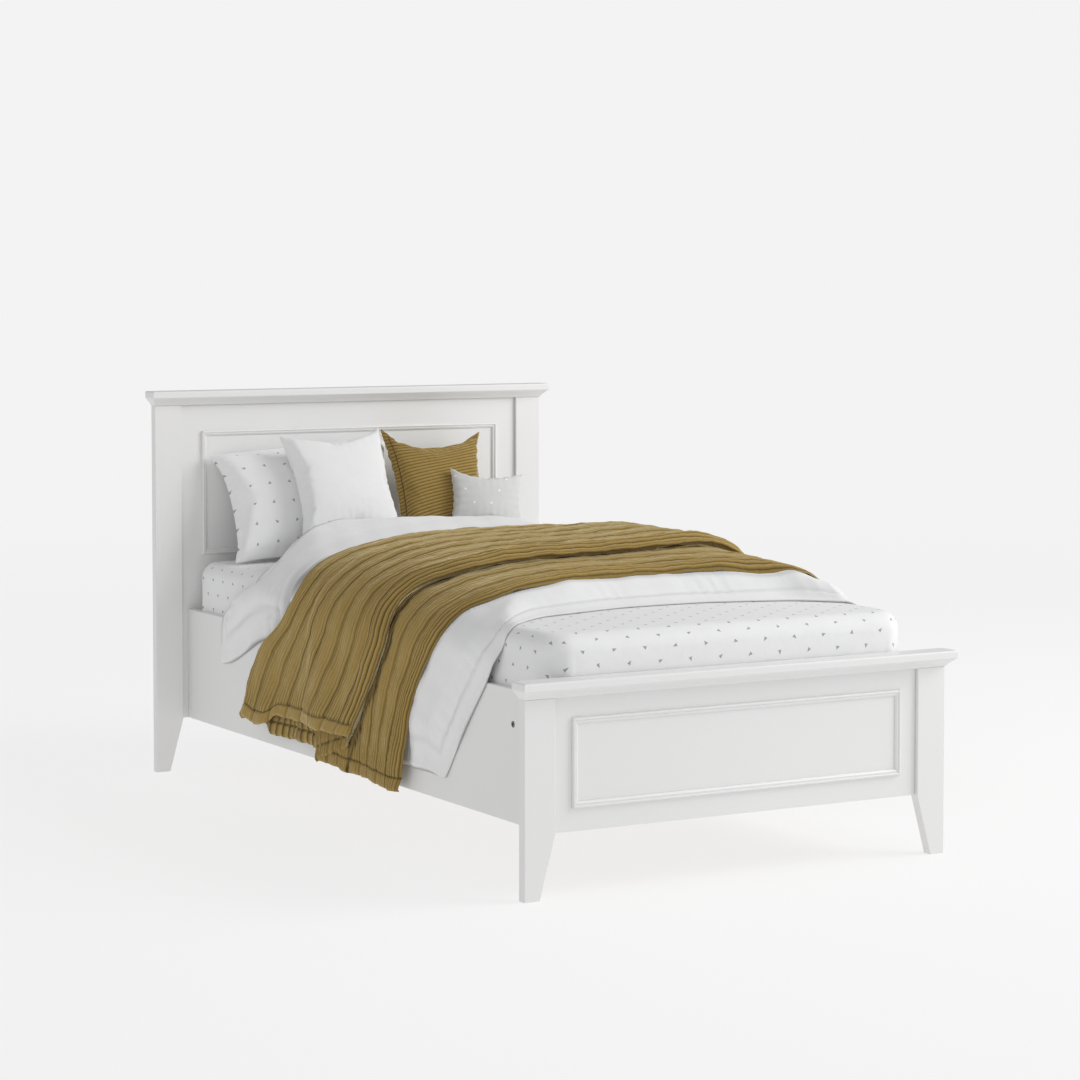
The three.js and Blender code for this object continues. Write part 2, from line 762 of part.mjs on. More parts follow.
// The line that a cover follows where it lies close: the sheet's crown, its rounded edge,
// and down past the rail at a small distance.
function closePoint(step, hangShares, hemHeight) {
  const side = Math.sign(step);
  const reach = Math.abs(step);
  const edge = mattressEdgeRadius;
  const sideX = mattressWidth / 2 + restGap + sheetThickness + coverGap;
  const edgeHeight = sheetTopHeight + coverGap - edge;
  if (reach <= crownSteps) {
    const x = ((sideX - edge) * reach) / crownSteps;
    return new THREE.Vector2(side * x, edgeHeight + edge + mattressCrown * (1 - (x / sideX) ** 2));
  }
  if (reach === crownSteps + 1) {
    const outwards = coverShoulderShare * edge * Math.SQRT1_2;
    return new THREE.Vector2(side * (sideX - edge + outwards), edgeHeight + outwards);
  }
  if (reach === crownSteps + 2) {
    return new THREE.Vector2(side * sideX, edgeHeight);
  }
  const bendHeight = railTopHeight + coverBendRise;
  if (reach === springStep) {
    return new THREE.Vector2(side * duvetInnerX, bendHeight);
  }
  return new THREE.Vector2(side * duvetInnerX, hangHeight(step, hangShares, bendHeight, hemHeight));
}

// How far a cover stands off the middle of the sheet's rounded edge, as a share of its radius.
const coverShoulderShare = 1.12;

// A line over the bed and down both sides: where it lies along the bed at each step, as shares of
// its sweep, from the place that lies nearest the foot.
function lineAt(line, step) {
  const shares = step < 0 ? line.leftShares : line.rightShares;
  return mattressFootY + line.margin + line.sweep * shares[Math.abs(step)];
}

// Duvet: spread over the mattress from the pillows to near the foot, hanging over both rails.

const duvetFootShares = [0.5, 0.49, 0.45, 0.39, 0.29, 0.1, 0.02, 0.14, 0.28, 0.44, 0.59, 0.74, 0.87, 1];
const duvetFootLine = {
  margin: duvetFootMargin,
  sweep: duvetFootSweep,
  leftShares: duvetFootShares,
  rightShares: duvetFootShares,
};
const duvetFootY = mattressFootY + duvetFootMargin;
const duvetHeadY = pillowRestY - duvetFromHeadboard;
const duvetLength = duvetHeadY - duvetFootY;
const duvetHeadLine = {
  margin: duvetHeadY - duvetHeadSweep - mattressFootY,
  sweep: duvetHeadSweep,
  leftShares: [1, 1, 1, 0.9, 0.45, 0.1, 0, 0.13, 0.6, 0.97, 1, 1, 1, 1],
  rightShares: [1, 1, 1, 1, 1, 0.95, 0.9, 0.92, 0.98, 1, 1, 1, 1, 1],
};
const duvetSpringShare = 0.3;
const duvetSpringHeight = railTopHeight + duvetSpringShare * (sheetTopHeight - railTopHeight);
const duvetInnerX = railOuterX + coverGap;
const duvetShare = (y) => (y - duvetFootY) / duvetLength;

// The duvet stands highest near the pillows and is flattest towards its foot. Its right shoulder
// is squarer and fuller than the left one, except towards the head.
const headSwellStartShare = 0.74;
const headSwellLengthShare = 0.18;
const footSlopeLengthShare = 0.5;
const squareEndShare = 0.55;
const squareFadeShare = 0.25;

function duvetTopRise(y) {
  const towardsHead = smoothStep((duvetShare(y) - headSwellStartShare) / headSwellLengthShare);
  const towardsFoot = 1 - smoothStep(duvetShare(y) / footSlopeLengthShare);
  const swell = duvetRise + duvetHeadRise * towardsHead;
  return swell - (duvetRise - duvetFootRise) * towardsFoot;
}

// A point of the full duvet's outer face, or of what lies on it at a given lift.
function fullPoint(step, y, lift, sideLift, hangShares, hemHeight) {
  const top = sheetTopHeight + mattressCrown + duvetTopRise(y) + lift;
  const halfWidth = duvetInnerX + duvetSideThickness + sideLift;
  const round = archPoint(step, archFlatness, halfWidth, top, hangShares, hemHeight);
  if (step <= 0) {
    return round;
  }
  const width = halfWidth + duvetRightFullness;
  const share = archShares[Math.min(step, springStep)];
  const leaning = duvetRightRise * smoothStep((share * width) / duvetRightRiseReach);
  const square = archPoint(step, squareArchFlatness, width, top + leaning, hangShares, hemHeight);
  return square.lerp(round, smoothStep((duvetShare(y) - squareEndShare) / squareFadeShare));
}

// How full the filling is: flat along the foot edge, rolled at the head.
function footFullness(step, y) {
  return smoothStep((y - lineAt(duvetFootLine, step)) / duvetFootRampLength);
}

function duvetFullness(step, y) {
  const intoRoll = THREE.MathUtils.clamp((lineAt(duvetHeadLine, step) - y) / duvetHeadRollLength, 0, 1);
  return Math.min(footFullness(step, y), Math.sqrt(1 - (1 - intoRoll) ** 2));
}

// The side hems run level from the foot, are drawn up beside the throw, and drop towards the head.
const hemRiseStartShare = 0.44;
const hemRiseLengthShare = 0.32;
const hemDropStartShare = 0.79;

function duvetHem(y) {
  const rise = smoothStep((duvetShare(y) - hemRiseStartShare) / hemRiseLengthShare);
  const drop = smoothStep((duvetShare(y) - hemDropStartShare) / (1 - hemDropStartShare));
  const raised = duvetHemHeight + (duvetRaisedHemHeight - duvetHemHeight) * rise;
  return raised - (duvetRaisedHemHeight - duvetHeadHemHeight) * drop;
}

// Shallow folds of the hanging part, deepest at the hem.
function hangFold(y, height, hemHeight) {
  const hang = THREE.MathUtils.clamp((sheetTopHeight - height) / (sheetTopHeight - hemHeight), 0, 1);
  const wave = 0.5 + 0.5 * Math.sin((2 * Math.PI * y) / duvetFoldPitch);
  return duvetFoldDepth * wave * hang;
}

// The duvet's face (1) or backing (0) at a step across it and a share of its length.
function duvetPoint(step, share, face) {
  const footY = lineAt(duvetFootLine, step);
  const y = footY + share * (lineAt(duvetHeadLine, step) - footY);
  const hem = duvetHem(y);
  const close = closePoint(step, duvetHangShares, hem);
  const full = fullPoint(step, y, 0, 0, duvetHangShares, hem).sub(close);
  const reach = duvetHemThickness + (full.length() - duvetHemThickness) * duvetFullness(step, y);
  const point = close.add(full.setLength(face * reach));
  return new THREE.Vector3(point.x + Math.sign(step) * hangFold(y, point.y, hem), y, point.y);
}

// Rows along the duvet from foot to head, closer together at the thin foot and the rolled head.
const duvetRowShares = [
  0, 0.022, 0.045, 0.065, 0.09, 0.15, 0.22, 0.3, 0.38, 0.455, 0.53, 0.6,
  0.6685, 0.735, 0.79, 0.834, 0.873, 0.9064, 0.9338, 0.9558, 0.9757, 0.9912, 1,
];
const duvetSteps = duvetRowShares.length - 1;
const duvetRow = (v) => duvetRowShares[Math.round(v * duvetSteps)];
const duvet = slab(
  sectionSteps,
  duvetSteps,
  (u, v) => duvetPoint(stepAt(u), duvetRow(v), 1),
  (u, v) => duvetPoint(stepAt(u), duvetRow(v), 0),
);
addPiece("duvet", duvet, whiteCotton);

// Throw: a ribbed quilt laid across the bed. A wide flat pleat across it ends in a rolled ridge
// towards the foot, and its head side is doubled.

const throwFootLine = {
  margin: throwFootMargin,
  sweep: throwFootSweep,
  leftShares: [0.31, 0.3, 0.28, 0.225, 0.22, 0.275, 0.34, 0.36, 0.485, 0.665, 0.8, 0.875, 0.885, 1],
  rightShares: [0.31, 0.29, 0.245, 0.155, 0.08, 0, 0.06, 0.18, 0.375, 0.57, 0.725, 0.81, 0.82, 0.94],
};
const throwRidgeLine = {
  margin: throwRidgeMargin,
  sweep: throwRidgeSweep,
  leftShares: [0.04, 0.03, 0.01, 0, 0.01, 0.14, 0.21, 0.18, 0.19, 0.34, 0.52, 0.69, 0.71, 1],
  rightShares: [0.04, 0.035, 0.025, 0.08, 0.13, 0.19, 0.22, 0.28, 0.345, 0.41, 0.54, 0.72, 0.74, 0.97],
};
const throwHeadLine = {
  margin: throwHeadMargin,
  sweep: throwHeadSweep,
  leftShares: [0.225, 0.145, 0.065, 0.02, 0.025, 0.07, 0.02, 0, 0.18, 0.46, 0.62, 0.72, 0.74, 0.93],
  rightShares: [0.225, 0.24, 0.25, 0.24, 0.215, 0.19, 0.17, 0.2, 0.3, 0.515, 0.695, 0.8, 0.81, 0.98],
};

// Rows from the foot edge to the ridge, and from the ridge to the head edge.
const lowerRowShares = [0, 0.04, 0.12, 0.3, 0.62, 1];
const upperRowShares = [0, 0.03, 0.07, 0.12, 0.19, 0.28, 0.37, 0.46, 0.55, 0.64, 0.73, 0.82, 0.91, 0.975, 1];
const throwSteps = lowerRowShares.length + upperRowShares.length - 1;
const pleatHemStep = springStep + 3;

// Height of the ridge's roll over the pleat, from its edge on, as a share of its full height.
function ridgeSwell(fromRidge) {
  const share = fromRidge / throwRidgeWidth;
  return smoothStep(2 * share + 0.5) * (1 - smoothStep(2 * share - 1));
}

// Where a row lies along the bed, how far its hem hangs, and how thick it is over the duvet.
function throwRow(row, step) {
  const footY = lineAt(throwFootLine, step);
  const ridgeY = lineAt(throwRidgeLine, step);
  const headY = lineAt(throwHeadLine, step);
  if (row < lowerRowShares.length) {
    const share = lowerRowShares[row];
    const y = footY + share * (ridgeY - throwRidgeStep - footY);
    const hem = throwHemHeight + (throwRidgeHemHeight - throwHemHeight) * share;
    return { y, hem, depth: row === 0 ? throwEdgeThickness : throwLowerThickness };
  }
  const share = upperRowShares[row - lowerRowShares.length];
  const y = ridgeY + share * (headY - ridgeY);
  const pleatEndY = mattressFootY + throwPleatEndMargin;
  const pastPleat = smoothStep((y - pleatEndY) / throwPleatEndLength);
  const atHead = smoothStep((y - pleatEndY) / (mattressFootY + throwHeadMargin + throwHeadSweep - pleatEndY));
  const foldHem = throwRidgeHemHeight + (throwFoldHemHeight - throwRidgeHemHeight) * pastPleat;
  const hem = foldHem + (throwHeadHemHeight - throwFoldHemHeight) * atHead;
  if (row === throwSteps) {
    return { y, hem, depth: throwEdgeThickness };
  }
  if (Math.abs(step) > pleatHemStep) {
    const bare = throwLowerThickness + (throwDoubledThickness - throwLowerThickness) * pastPleat;
    return { y, hem, depth: bare };
  }
  const pleat = throwPleatThickness + (throwDoubledThickness - throwPleatThickness) * pastPleat;
  return { y, hem, depth: pleat + (throwRidgeThickness - throwPleatThickness) * ridgeSwell(y - ridgeY) };
}

function throwPoint(u, v, face) {
  const step = stepAt(u);
  const { y, hem, depth } = throwRow(Math.round(v * throwSteps), step);
  const lift = throwGap + face * depth;
  const close = closePoint(step, throwHangShares, hem);
  const full = fullPoint(step, y, lift, duvetFoldDepth + lift, throwHangShares, hem);
  const thin = full.clone().sub(close).setLength(duvetHemThickness + duvetFoldDepth + lift).add(close);
  const point = thin.lerp(full, footFullness(step, y));
  return new THREE.Vector3(point.x, y, point.y);
}

const throwCover = slab(
  sectionSteps,
  throwSteps,
  (u, v) => throwPoint(u, v, 1),
  (u, v) => throwPoint(u, v, 0),
);
addPiece("throw", throwCover, ochreRib);

// Pillow and cushions

const cushionSteps = 12;
const domeFlatness = 2.4;
const domeCrest = 0.55;
const sagLeftwardsShare = 0.35;

// A stuffed cover: crowned faces, sides drawn in between the corners, and a flat flange if given.
// Its upper edge sags between the corners, a little more towards the left. Corners that lie out of
// square are given by their side, their end, and how far they lie to the right and up.
function cushion(width, height, thickness, drawInShare, { flange = 0, sag = 0, corners = [] } = {}) {
  const seam = coverSeamThickness / 2;
  const flangeShareX = (2 * flange) / width;
  const flangeShareY = (2 * flange) / height;
  const dome = (share, flangeShare) => {
    const inside = Math.min(1, Math.abs(share) / (1 - flangeShare));
    return (1 - inside ** domeFlatness) ** domeCrest;
  };
  const pointAt = (u, v, way) => {
    const across = 2 * u - 1;
    const up = 2 * v - 1;
    const rise = (thickness / 2 - seam) * dome(across, flangeShareX) * dome(up, flangeShareY);
    let x = (across * width * (1 - drawInShare * (1 - up ** 2))) / 2;
    const sagHere = sag * Math.max(0, up) ** 3 * (1 - across ** 2) * (1 - sagLeftwardsShare * across);
    let z = (up * height * (1 - drawInShare * (1 - across ** 2))) / 2 - sagHere;
    for (const [side, end, rightwards, upwards] of corners) {
      const nearness = (((1 + side * across) * (1 + end * up)) / 4) ** 3;
      x += rightwards * nearness;
      z += upwards * nearness;
    }
    return new THREE.Vector3(x, -way * (seam + rise), z + height / 2);
  };
  return slab(cushionSteps, cushionSteps, (u, v) => pointAt(u, v, 1), (u, v) => pointAt(u, v, -1));
}

// Stands a cushion on its lower edge: rolled in its own plane, leaning back, and turned.
function addCushion(name, geometry, finish, place, lean, turn = 0, roll = 0) {
  const stand = new THREE.Group();
  const [across, fromHeadboard, rise] = place;
  stand.position.set(across, pillowRestY - fromHeadboard, pillowBottomHeight + rise);
  stand.rotation.z = THREE.MathUtils.degToRad(turn);
  bed.add(stand);
  const mesh = addPiece(name, geometry, finish, stand);
  mesh.rotation.set(-THREE.MathUtils.degToRad(lean), THREE.MathUtils.degToRad(roll), 0);
}

const drawInShare = 0.06;
const ochreDrawInShare = 0.1;

addCushion(
  "pillow_patterned",
  cushion(pillowWidth, pillowHeight, pillowThickness, drawInShare, {
    corners: [[-1, 1, -pillowCornerShift, -pillowCornerDrop]],
  }),
  whiteCotton,
  [-pillowLeftwards, pillowFromHeadboard, -pillowSink],
  pillowLeanDegrees,
);
addCushion(
  "cushion_white",
  cushion(whiteCushionWidth, whiteCushionHeight, whiteCushionThickness, drawInShare, {
    corners: [
      [1, 1, -whiteCushionCornerShift, whiteCushionCornerRise],
      [1, -1, -whiteCushionLowerShift, 0],
    ],
  }),
  whiteCotton,
  [-whiteCushionLeftwards, whiteCushionFromHeadboard, whiteCushionRise],
  whiteCushionLeanDegrees,
);
addCushion(
  "cushion_ochre",
  cushion(ochreCushionWidth, ochreCushionHeight, ochreCushionThickness, ochreDrawInShare, {
    flange: ochreCushionFlange,
    sag: ochreCushionSag,
  }),
  ochreRib,
  [ochreCushionRightwards, ochreCushionFromHeadboard, -ochreCushionSink],
  ochreCushionLeanDegrees,
  ochreCushionTurnDegrees,
);
addCushion(
  "cushion_grey",
  cushion(greyCushionWidth, greyCushionHeight, greyCushionThickness, drawInShare, {
    sag: greyCushionSag,
  }),
  greyCotton,
  [greyCushionRightwards, greyCushionFromHeadboard, greyCushionRise],
  greyCushionLeanDegrees,
  greyCushionTurnDegrees,
  greyCushionRollDegrees,
);

export default bed;
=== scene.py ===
import math

import bmesh
import bpy
import numpy as np
from mathutils import Matrix, Vector


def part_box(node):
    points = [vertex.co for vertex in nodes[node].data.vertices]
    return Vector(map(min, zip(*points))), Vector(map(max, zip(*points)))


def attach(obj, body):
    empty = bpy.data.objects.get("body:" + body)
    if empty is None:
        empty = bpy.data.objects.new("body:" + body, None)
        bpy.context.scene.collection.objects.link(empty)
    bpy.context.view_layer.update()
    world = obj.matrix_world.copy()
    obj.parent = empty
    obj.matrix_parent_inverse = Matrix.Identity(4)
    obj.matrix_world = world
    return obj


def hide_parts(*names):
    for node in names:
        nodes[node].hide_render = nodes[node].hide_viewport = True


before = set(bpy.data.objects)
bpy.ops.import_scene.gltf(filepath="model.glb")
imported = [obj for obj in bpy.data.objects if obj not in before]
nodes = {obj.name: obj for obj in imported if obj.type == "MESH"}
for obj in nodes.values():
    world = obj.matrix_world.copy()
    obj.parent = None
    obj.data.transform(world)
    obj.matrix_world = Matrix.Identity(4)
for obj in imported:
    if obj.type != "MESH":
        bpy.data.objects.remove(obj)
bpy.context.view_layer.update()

# Camera, light and floor.
# A bed photographed in a white studio from beyond its left foot corner, from 1.4 m above the
# floor, with a long lens that is tilted a little down and shifted.

studio_white = 0.895  # strength of the backdrop as the camera sees it
white = (1, 1, 1, 1)
scene = bpy.context.scene


def new_object(name, data):
    item = bpy.data.objects.new(name, data)
    bpy.context.collection.objects.link(item)
    return item


camera_data = bpy.data.cameras.new("camera")
camera_data.lens = 100.0
camera_data.shift_y = -0.0926
camera = new_object("camera", camera_data)
camera.location = (-3.8584, -6.7939, 1.4135)
yaw, pitch = math.radians(29.84), math.radians(3.24)
camera.rotation_euler = (math.pi / 2 - pitch, 0, -yaw)
scene.camera = camera
scene.view_settings.view_transform = "Standard"

key_place, key_target = Vector((4.5, -2.8, 3.75)), Vector((0, 0, 0.5))
key_light = bpy.data.lights.new("key_light", "AREA")
key_light.shape, key_light.size, key_light.energy = "SQUARE", 3.6, 225
soft_box = new_object("key_light", key_light)
soft_box.location = key_place
soft_box.rotation_euler = (key_target - key_place).to_track_quat("-Z", "Y").to_euler()


def new_material(name, colour, roughness, **sockets):
    """A material with its nodes, and its shader with the given sockets set by name."""
    material = bpy.data.materials.new(name)
    material.use_nodes = True
    shader = material.node_tree.nodes["Principled BSDF"]
    shader.inputs["Base Color"].default_value = (*colour, 1)
    shader.inputs["Roughness"].default_value = roughness
    for socket, value in sockets.items():
        shader.inputs[socket.replace("_", " ")].default_value = value
    return material, material.node_tree, shader


def add(tree, kind, **values):
    """One node, with its properties and its sockets set by name."""
    node = tree.nodes.new("ShaderNode" + kind)
    for key, value in values.items():
        if hasattr(node, key):
            setattr(node, key, value)
        else:
            node.inputs[key.replace("_", " ")].default_value = value
    return node


def maths(tree, operation, *operands):
    """A Math node on sockets or numbers, and its result."""
    node = tree.nodes.new("ShaderNodeMath")
    node.operation = operation
    for socket, operand in zip(node.inputs, operands):
        if isinstance(operand, (int, float)):
            socket.default_value = operand
        else:
            tree.links.new(operand, socket)
    return node.outputs[0]


def product(tree, *factors):
    return maths(tree, "MULTIPLY", *factors)


def noise(tree, where, scale, detail, **values):
    """A cloudy unevenness over a place, around a half."""
    node = add(tree, "TexNoise", Scale=scale, Detail=detail, **values)
    tree.links.new(where, node.inputs["Vector"])
    return node.outputs["Fac"]


def spread_of(tree, source, low, high, **ends):
    """A value, brought to the range that the finish needs."""
    node = add(tree, "MapRange", To_Min=low, To_Max=high, **ends)
    tree.links.new(source, node.inputs["Value"])
    return node.outputs[0]


def mixed(tree, factor, first, second):
    """A colour between two, by a factor."""
    node = tree.nodes.new("ShaderNodeMix")
    node.data_type = "RGBA"
    for socket, value in ((node.inputs[6], first), (node.inputs[7], second)):
        if isinstance(value, tuple):
            socket.default_value = (*value, 1)
        else:
            tree.links.new(value, socket)
    tree.links.new(factor, node.inputs[0])
    return node.outputs[2]


def raised(tree, shader, height, distance, strength=1.0):
    """A fine relief on the shader, of that height in metres."""
    node = add(tree, "Bump", Strength=strength, Distance=distance)
    tree.links.new(height, node.inputs["Height"])
    tree.links.new(node.outputs[0], shader.inputs["Normal"])


def coordinates(tree, where):
    node = add(tree, "SeparateXYZ")
    tree.links.new(where, node.inputs[0])
    return node.outputs


def scaled(tree, where, scale):
    mapping = add(tree, "Mapping", Scale=scale)
    tree.links.new(where, mapping.inputs["Vector"])
    return mapping.outputs[0]


def in_object_space(tree, scale=(1, 1, 1)):
    return scaled(tree, add(tree, "TexCoord").outputs["Object"], scale)


studio = bpy.data.worlds.new("studio")
studio.use_nodes = True
tree = studio.node_tree
backdrop = tree.nodes["Background"]
backdrop.inputs["Color"].default_value = white
toward_front = add(tree, "VectorMath", operation="DOT_PRODUCT")
toward_front.inputs[1].default_value = (-0.2, -0.75, -0.6)
tree.links.new(add(tree, "TexCoord").outputs["Generated"], toward_front.inputs[0])
ambient = spread_of(tree, toward_front.outputs["Value"], 0.42, 0.7, From_Min=-1.0)
seen = add(tree, "LightPath").outputs["Is Camera Ray"]
strength = spread_of(tree, seen, 0.0, studio_white)
tree.links.new(ambient, strength.node.inputs["To Min"])
tree.links.new(strength, backdrop.inputs["Strength"])
scene.world = studio

floor_material, tree, shader = new_material(
    "studio_floor", (0.2, 0.2, 0.2), 0.9,
    Specular_IOR_Level=0.1, Emission_Color=white, Emission_Strength=0.745,
)
distance = add(tree, "VectorMath", operation="LENGTH")
tree.links.new(in_object_space(tree), distance.inputs[0])
far = spread_of(
    tree, distance.outputs["Value"], 0.0, 1.0,
    From_Min=2.5, From_Max=9.0, interpolation_type="SMOOTHSTEP",
)
haze = add(tree, "Emission", Strength=studio_white)
blend = add(tree, "MixShader")
tree.links.new(far, blend.inputs[0])
tree.links.new(shader.outputs[0], blend.inputs[1])
tree.links.new(haze.outputs[0], blend.inputs[2])
tree.links.new(blend.outputs[0], tree.nodes["Material Output"].inputs["Surface"])
floor_mesh = bmesh.new()
bmesh.ops.create_grid(floor_mesh, x_segments=2, y_segments=2, size=600)
floor_data = bpy.data.meshes.new("floor")
floor_mesh.to_mesh(floor_data)
floor_mesh.free()
floor_data.materials.append(floor_material)
floor = new_object("floor", floor_data)

# Painted woodwork: the legs, panels, caps, beads and side rails.
# Planed boards under a satin white spray paint, sanded smooth between coats, so that only a
# faint orange peel and the slightest drift of tone are left.

paint, tree, shader = new_material(
    "white_paint", (0.8, 0.8, 0.795), 0.42, Coat_Weight=0.08, Coat_Roughness=0.3,
)
where = in_object_space(tree)
drift = mixed(tree, noise(tree, where, 1.7, 1.0), (0.79, 0.79, 0.786), (0.83, 0.83, 0.826))
tree.links.new(drift, shader.inputs["Base Color"])
grain = spread_of(tree, noise(tree, where, 9.0, 6.0), 0.36, 0.48)
tree.links.new(grain, shader.inputs["Roughness"])
orange_peel = noise(tree, where, 420.0, 2.0)
raised(tree, shader, orange_peel, 0.00012, 0.5)


def refinish(node_name, material):
    data = nodes[node_name].data
    data.materials.clear()
    data.materials.append(material)


for board in ("footboard", "headboard"):
    for part in ("leg_right", "leg_left", "panel", "cap"):
        refinish(f"{board}_{part}", paint)
    for side in ("bottom", "top", "right", "left"):
        refinish(f"{board}_bead_{side}", paint)
for side in ("right", "left"):
    refinish("side_rail_" + side, paint)

# Slats and ledgers: unpainted pine.
# Planed softwood with its grain along each board and darker late-wood lines.


def pine(name, lengthways):
    material, tree, shader = new_material(name, (0.62, 0.45, 0.26), 0.62)
    stretch = {"x": (0.5, 9, 9), "y": (9, 0.5, 9)}[lengthways]
    where = in_object_space(tree, stretch)
    bend = noise(tree, where, 1.4, 2.0)
    rings = noise(tree, where, 7.0, 5.0, Distortion=1.2)
    fibre = noise(tree, where, 60.0, 3.0)
    light_to_dark = mixed(tree, rings, (0.7, 0.53, 0.33), (0.5, 0.33, 0.17))
    colour = mixed(tree, bend, light_to_dark, (0.66, 0.49, 0.29))
    tree.links.new(colour, shader.inputs["Base Color"])
    tree.links.new(spread_of(tree, fibre, 0.55, 0.75), shader.inputs["Roughness"])
    raised(tree, shader, fibre, 0.0003, 0.5)
    return material


slat_pine = pine("slat_pine", "x")
ledger_pine = pine("ledger_pine", "y")
for number in range(1, 13):
    refinish(f"slat_{number:02d}", slat_pine)
for side in ("right", "left"):
    refinish("slat_ledger_" + side, ledger_pine)

# Bolts and corner irons.
# Dark plated machine screws with a socket in the head, and pressed angle irons in bright zinc
# with the faint spangle and rubbed patches that such plating has.


def plated(name, dark, light, roughness):
    material, tree, shader = new_material(name, dark, roughness, Metallic=0.9)
    where = in_object_space(tree)
    spangle = add(tree, "TexVoronoi", Scale=260.0)
    tree.links.new(where, spangle.inputs["Vector"])
    colour = mixed(tree, spangle.outputs["Distance"], dark, light)
    tree.links.new(colour, shader.inputs["Base Color"])
    rub = noise(tree, where, 45.0, 5.0)
    rubbed = spread_of(tree, rub, roughness - 0.08, roughness + 0.14)
    tree.links.new(rubbed, shader.inputs["Roughness"])
    raised(tree, shader, rub, 0.0001, 0.4)
    return material


dark_plate = plated("dark_plate", (0.1, 0.1, 0.105), (0.2, 0.2, 0.21), 0.34)
zinc_plate = plated("zinc_plate", (0.5, 0.51, 0.53), (0.66, 0.67, 0.7), 0.38)
for side in ("right", "left"):
    for number in range(1, 5):
        refinish(f"ledger_bolt_{number}_{side}", dark_plate)
    for end in ("foot", "head"):
        refinish(f"corner_iron_{end}_{side}", zinc_plate)
        refinish(f"iron_bolt_{end}_{side}", dark_plate)

# Mattress: a foam core in a quilted white cover.
# The cover is closed by a cord piping round its bottom edge. It crowns a little towards the
# middle, and is seen only from below, between the slats.

mattress_low, mattress_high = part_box("mattress")
mattress_middle = (mattress_low + mattress_high) / 2
mattress_width = mattress_high.x - mattress_low.x
mattress_length = mattress_high.y - mattress_low.y
mattress_crown = 0.012
mattress_thickness = mattress_high.z - mattress_low.z - mattress_crown
half_x, half_y = mattress_width / 2, mattress_length / 2
mattress_edge, mattress_corner = 0.038, 0.07


def foam_block(grow, step):
    """A block with rounded edges and a crowned top, of the mattress's size plus grow."""
    bm = bmesh.new()
    size = Vector((mattress_width, mattress_length, mattress_thickness)) + Vector((2, 2, 2)) * grow
    centre = Vector((mattress_middle.x, mattress_middle.y, mattress_low.z + mattress_thickness / 2))
    bmesh.ops.create_cube(bm, size=1)
    bmesh.ops.scale(bm, vec=size, verts=bm.verts)

    def rise(edge):
        return abs((edge.verts[0].co - edge.verts[1].co).z)

    round_off = dict(affect="EDGES", profile=0.5, material=-1, clamp_overlap=True)
    upright = [e for e in bm.edges if rise(e) > mattress_thickness / 2]
    bmesh.ops.bevel(bm, geom=upright, offset=mattress_corner + grow, segments=10, **round_off)
    rims = [e for e in bm.edges if rise(e) < 1e-6]
    bmesh.ops.bevel(bm, geom=rims, offset=mattress_edge + grow, segments=7, **round_off)
    bmesh.ops.translate(bm, verts=bm.verts, vec=centre)
    for axis, spacing in ((0, step), (1, step), (2, 0.02)):
        count = int(size[axis] / spacing)
        for k in range(1, count):
            place, across = centre.copy(), Vector((0, 0, 0))
            place[axis] += size[axis] * (k / count - 0.5)
            across[axis] = 1
            geom = bm.verts[:] + bm.edges[:] + bm.faces[:]
            bmesh.ops.bisect_plane(bm, geom=geom, dist=1e-5, plane_co=place, plane_no=across)
    for v in bm.verts:
        across = (v.co.x - centre.x) / half_x
        along = (v.co.y - centre.y) / half_y
        up = (v.co.z - centre.z) / (mattress_thickness / 2)
        crown = mattress_crown * max(0, 1 - across**2) * max(0, 1 - along**4)
        v.co.z += crown * max(0, up)
    return bm


def make_piece(bm, name, material):
    """The finished mesh as a smooth object that rides on the bed."""
    data = bpy.data.meshes.new(name)
    bm.to_mesh(data)
    bm.free()
    data.materials.append(material)
    data.shade_smooth()
    piece = new_object(name, data)
    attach(piece, "root")
    return piece


def map_cloth(bm, unfold):
    """Writes the flat place of each corner, in metres, so that a pattern follows the cloth."""
    layer = bm.loops.layers.uv.new("cloth")
    for face in bm.faces:
        for loop in face.loops:
            loop[layer].uv = unfold(face, loop.vert)


def unfold_block(face, vert):
    """Over the top as it lies, and on down the side that the face is on."""
    drop = max(0.0, mattress_high.z - mattress_crown - vert.co.z)
    middle = face.calc_center_median() - mattress_middle
    past_x = abs(middle.x) - (half_x - mattress_corner)
    past_y = abs(middle.y) - (half_y - mattress_corner)
    if past_y > past_x:
        return vert.co.x, vert.co.y + math.copysign(drop, middle.y)
    return vert.co.x + math.copysign(drop, middle.x), vert.co.y


def cloth_place(tree, scale=1.0):
    where = add(tree, "UVMap", uv_map="cloth").outputs["UV"]
    return scaled(tree, where, (scale, scale, scale))


def weave(tree, pitch):
    """Height of a plain weave: threads over and under each other, at that pitch."""
    x, y, _ = coordinates(tree, cloth_place(tree, 2 * math.pi / pitch))
    return product(tree, maths(tree, "SINE", x), maths(tree, "SINE", y))


ticking, tree, shader = new_material(
    "mattress_ticking", (0.82, 0.82, 0.81), 0.9, Sheen_Weight=0.2,
)
quilt = add(tree, "TexVoronoi", feature="DISTANCE_TO_EDGE", Scale=14.0)
tree.links.new(cloth_place(tree), quilt.inputs["Vector"])
# Darker along the quilting lines, as painted shade in the grooves of the relief
stitches_and_painted_shade = spread_of(tree, quilt.outputs["Distance"], 0.0, 1.0, From_Max=0.25)
colour = mixed(tree, stitches_and_painted_shade, (0.7, 0.7, 0.69), (0.84, 0.84, 0.83))
tree.links.new(colour, shader.inputs["Base Color"])
threads = product(tree, weave(tree, 0.0012), 0.004)
raised(tree, shader, maths(tree, "ADD", stitches_and_painted_shade, threads), 0.004)

bm = foam_block(-0.001, 0.1)
bm.normal_update()
map_cloth(bm, unfold_block)
mattress_piece = make_piece(bm, "mattress_cover", ticking)
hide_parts("mattress")

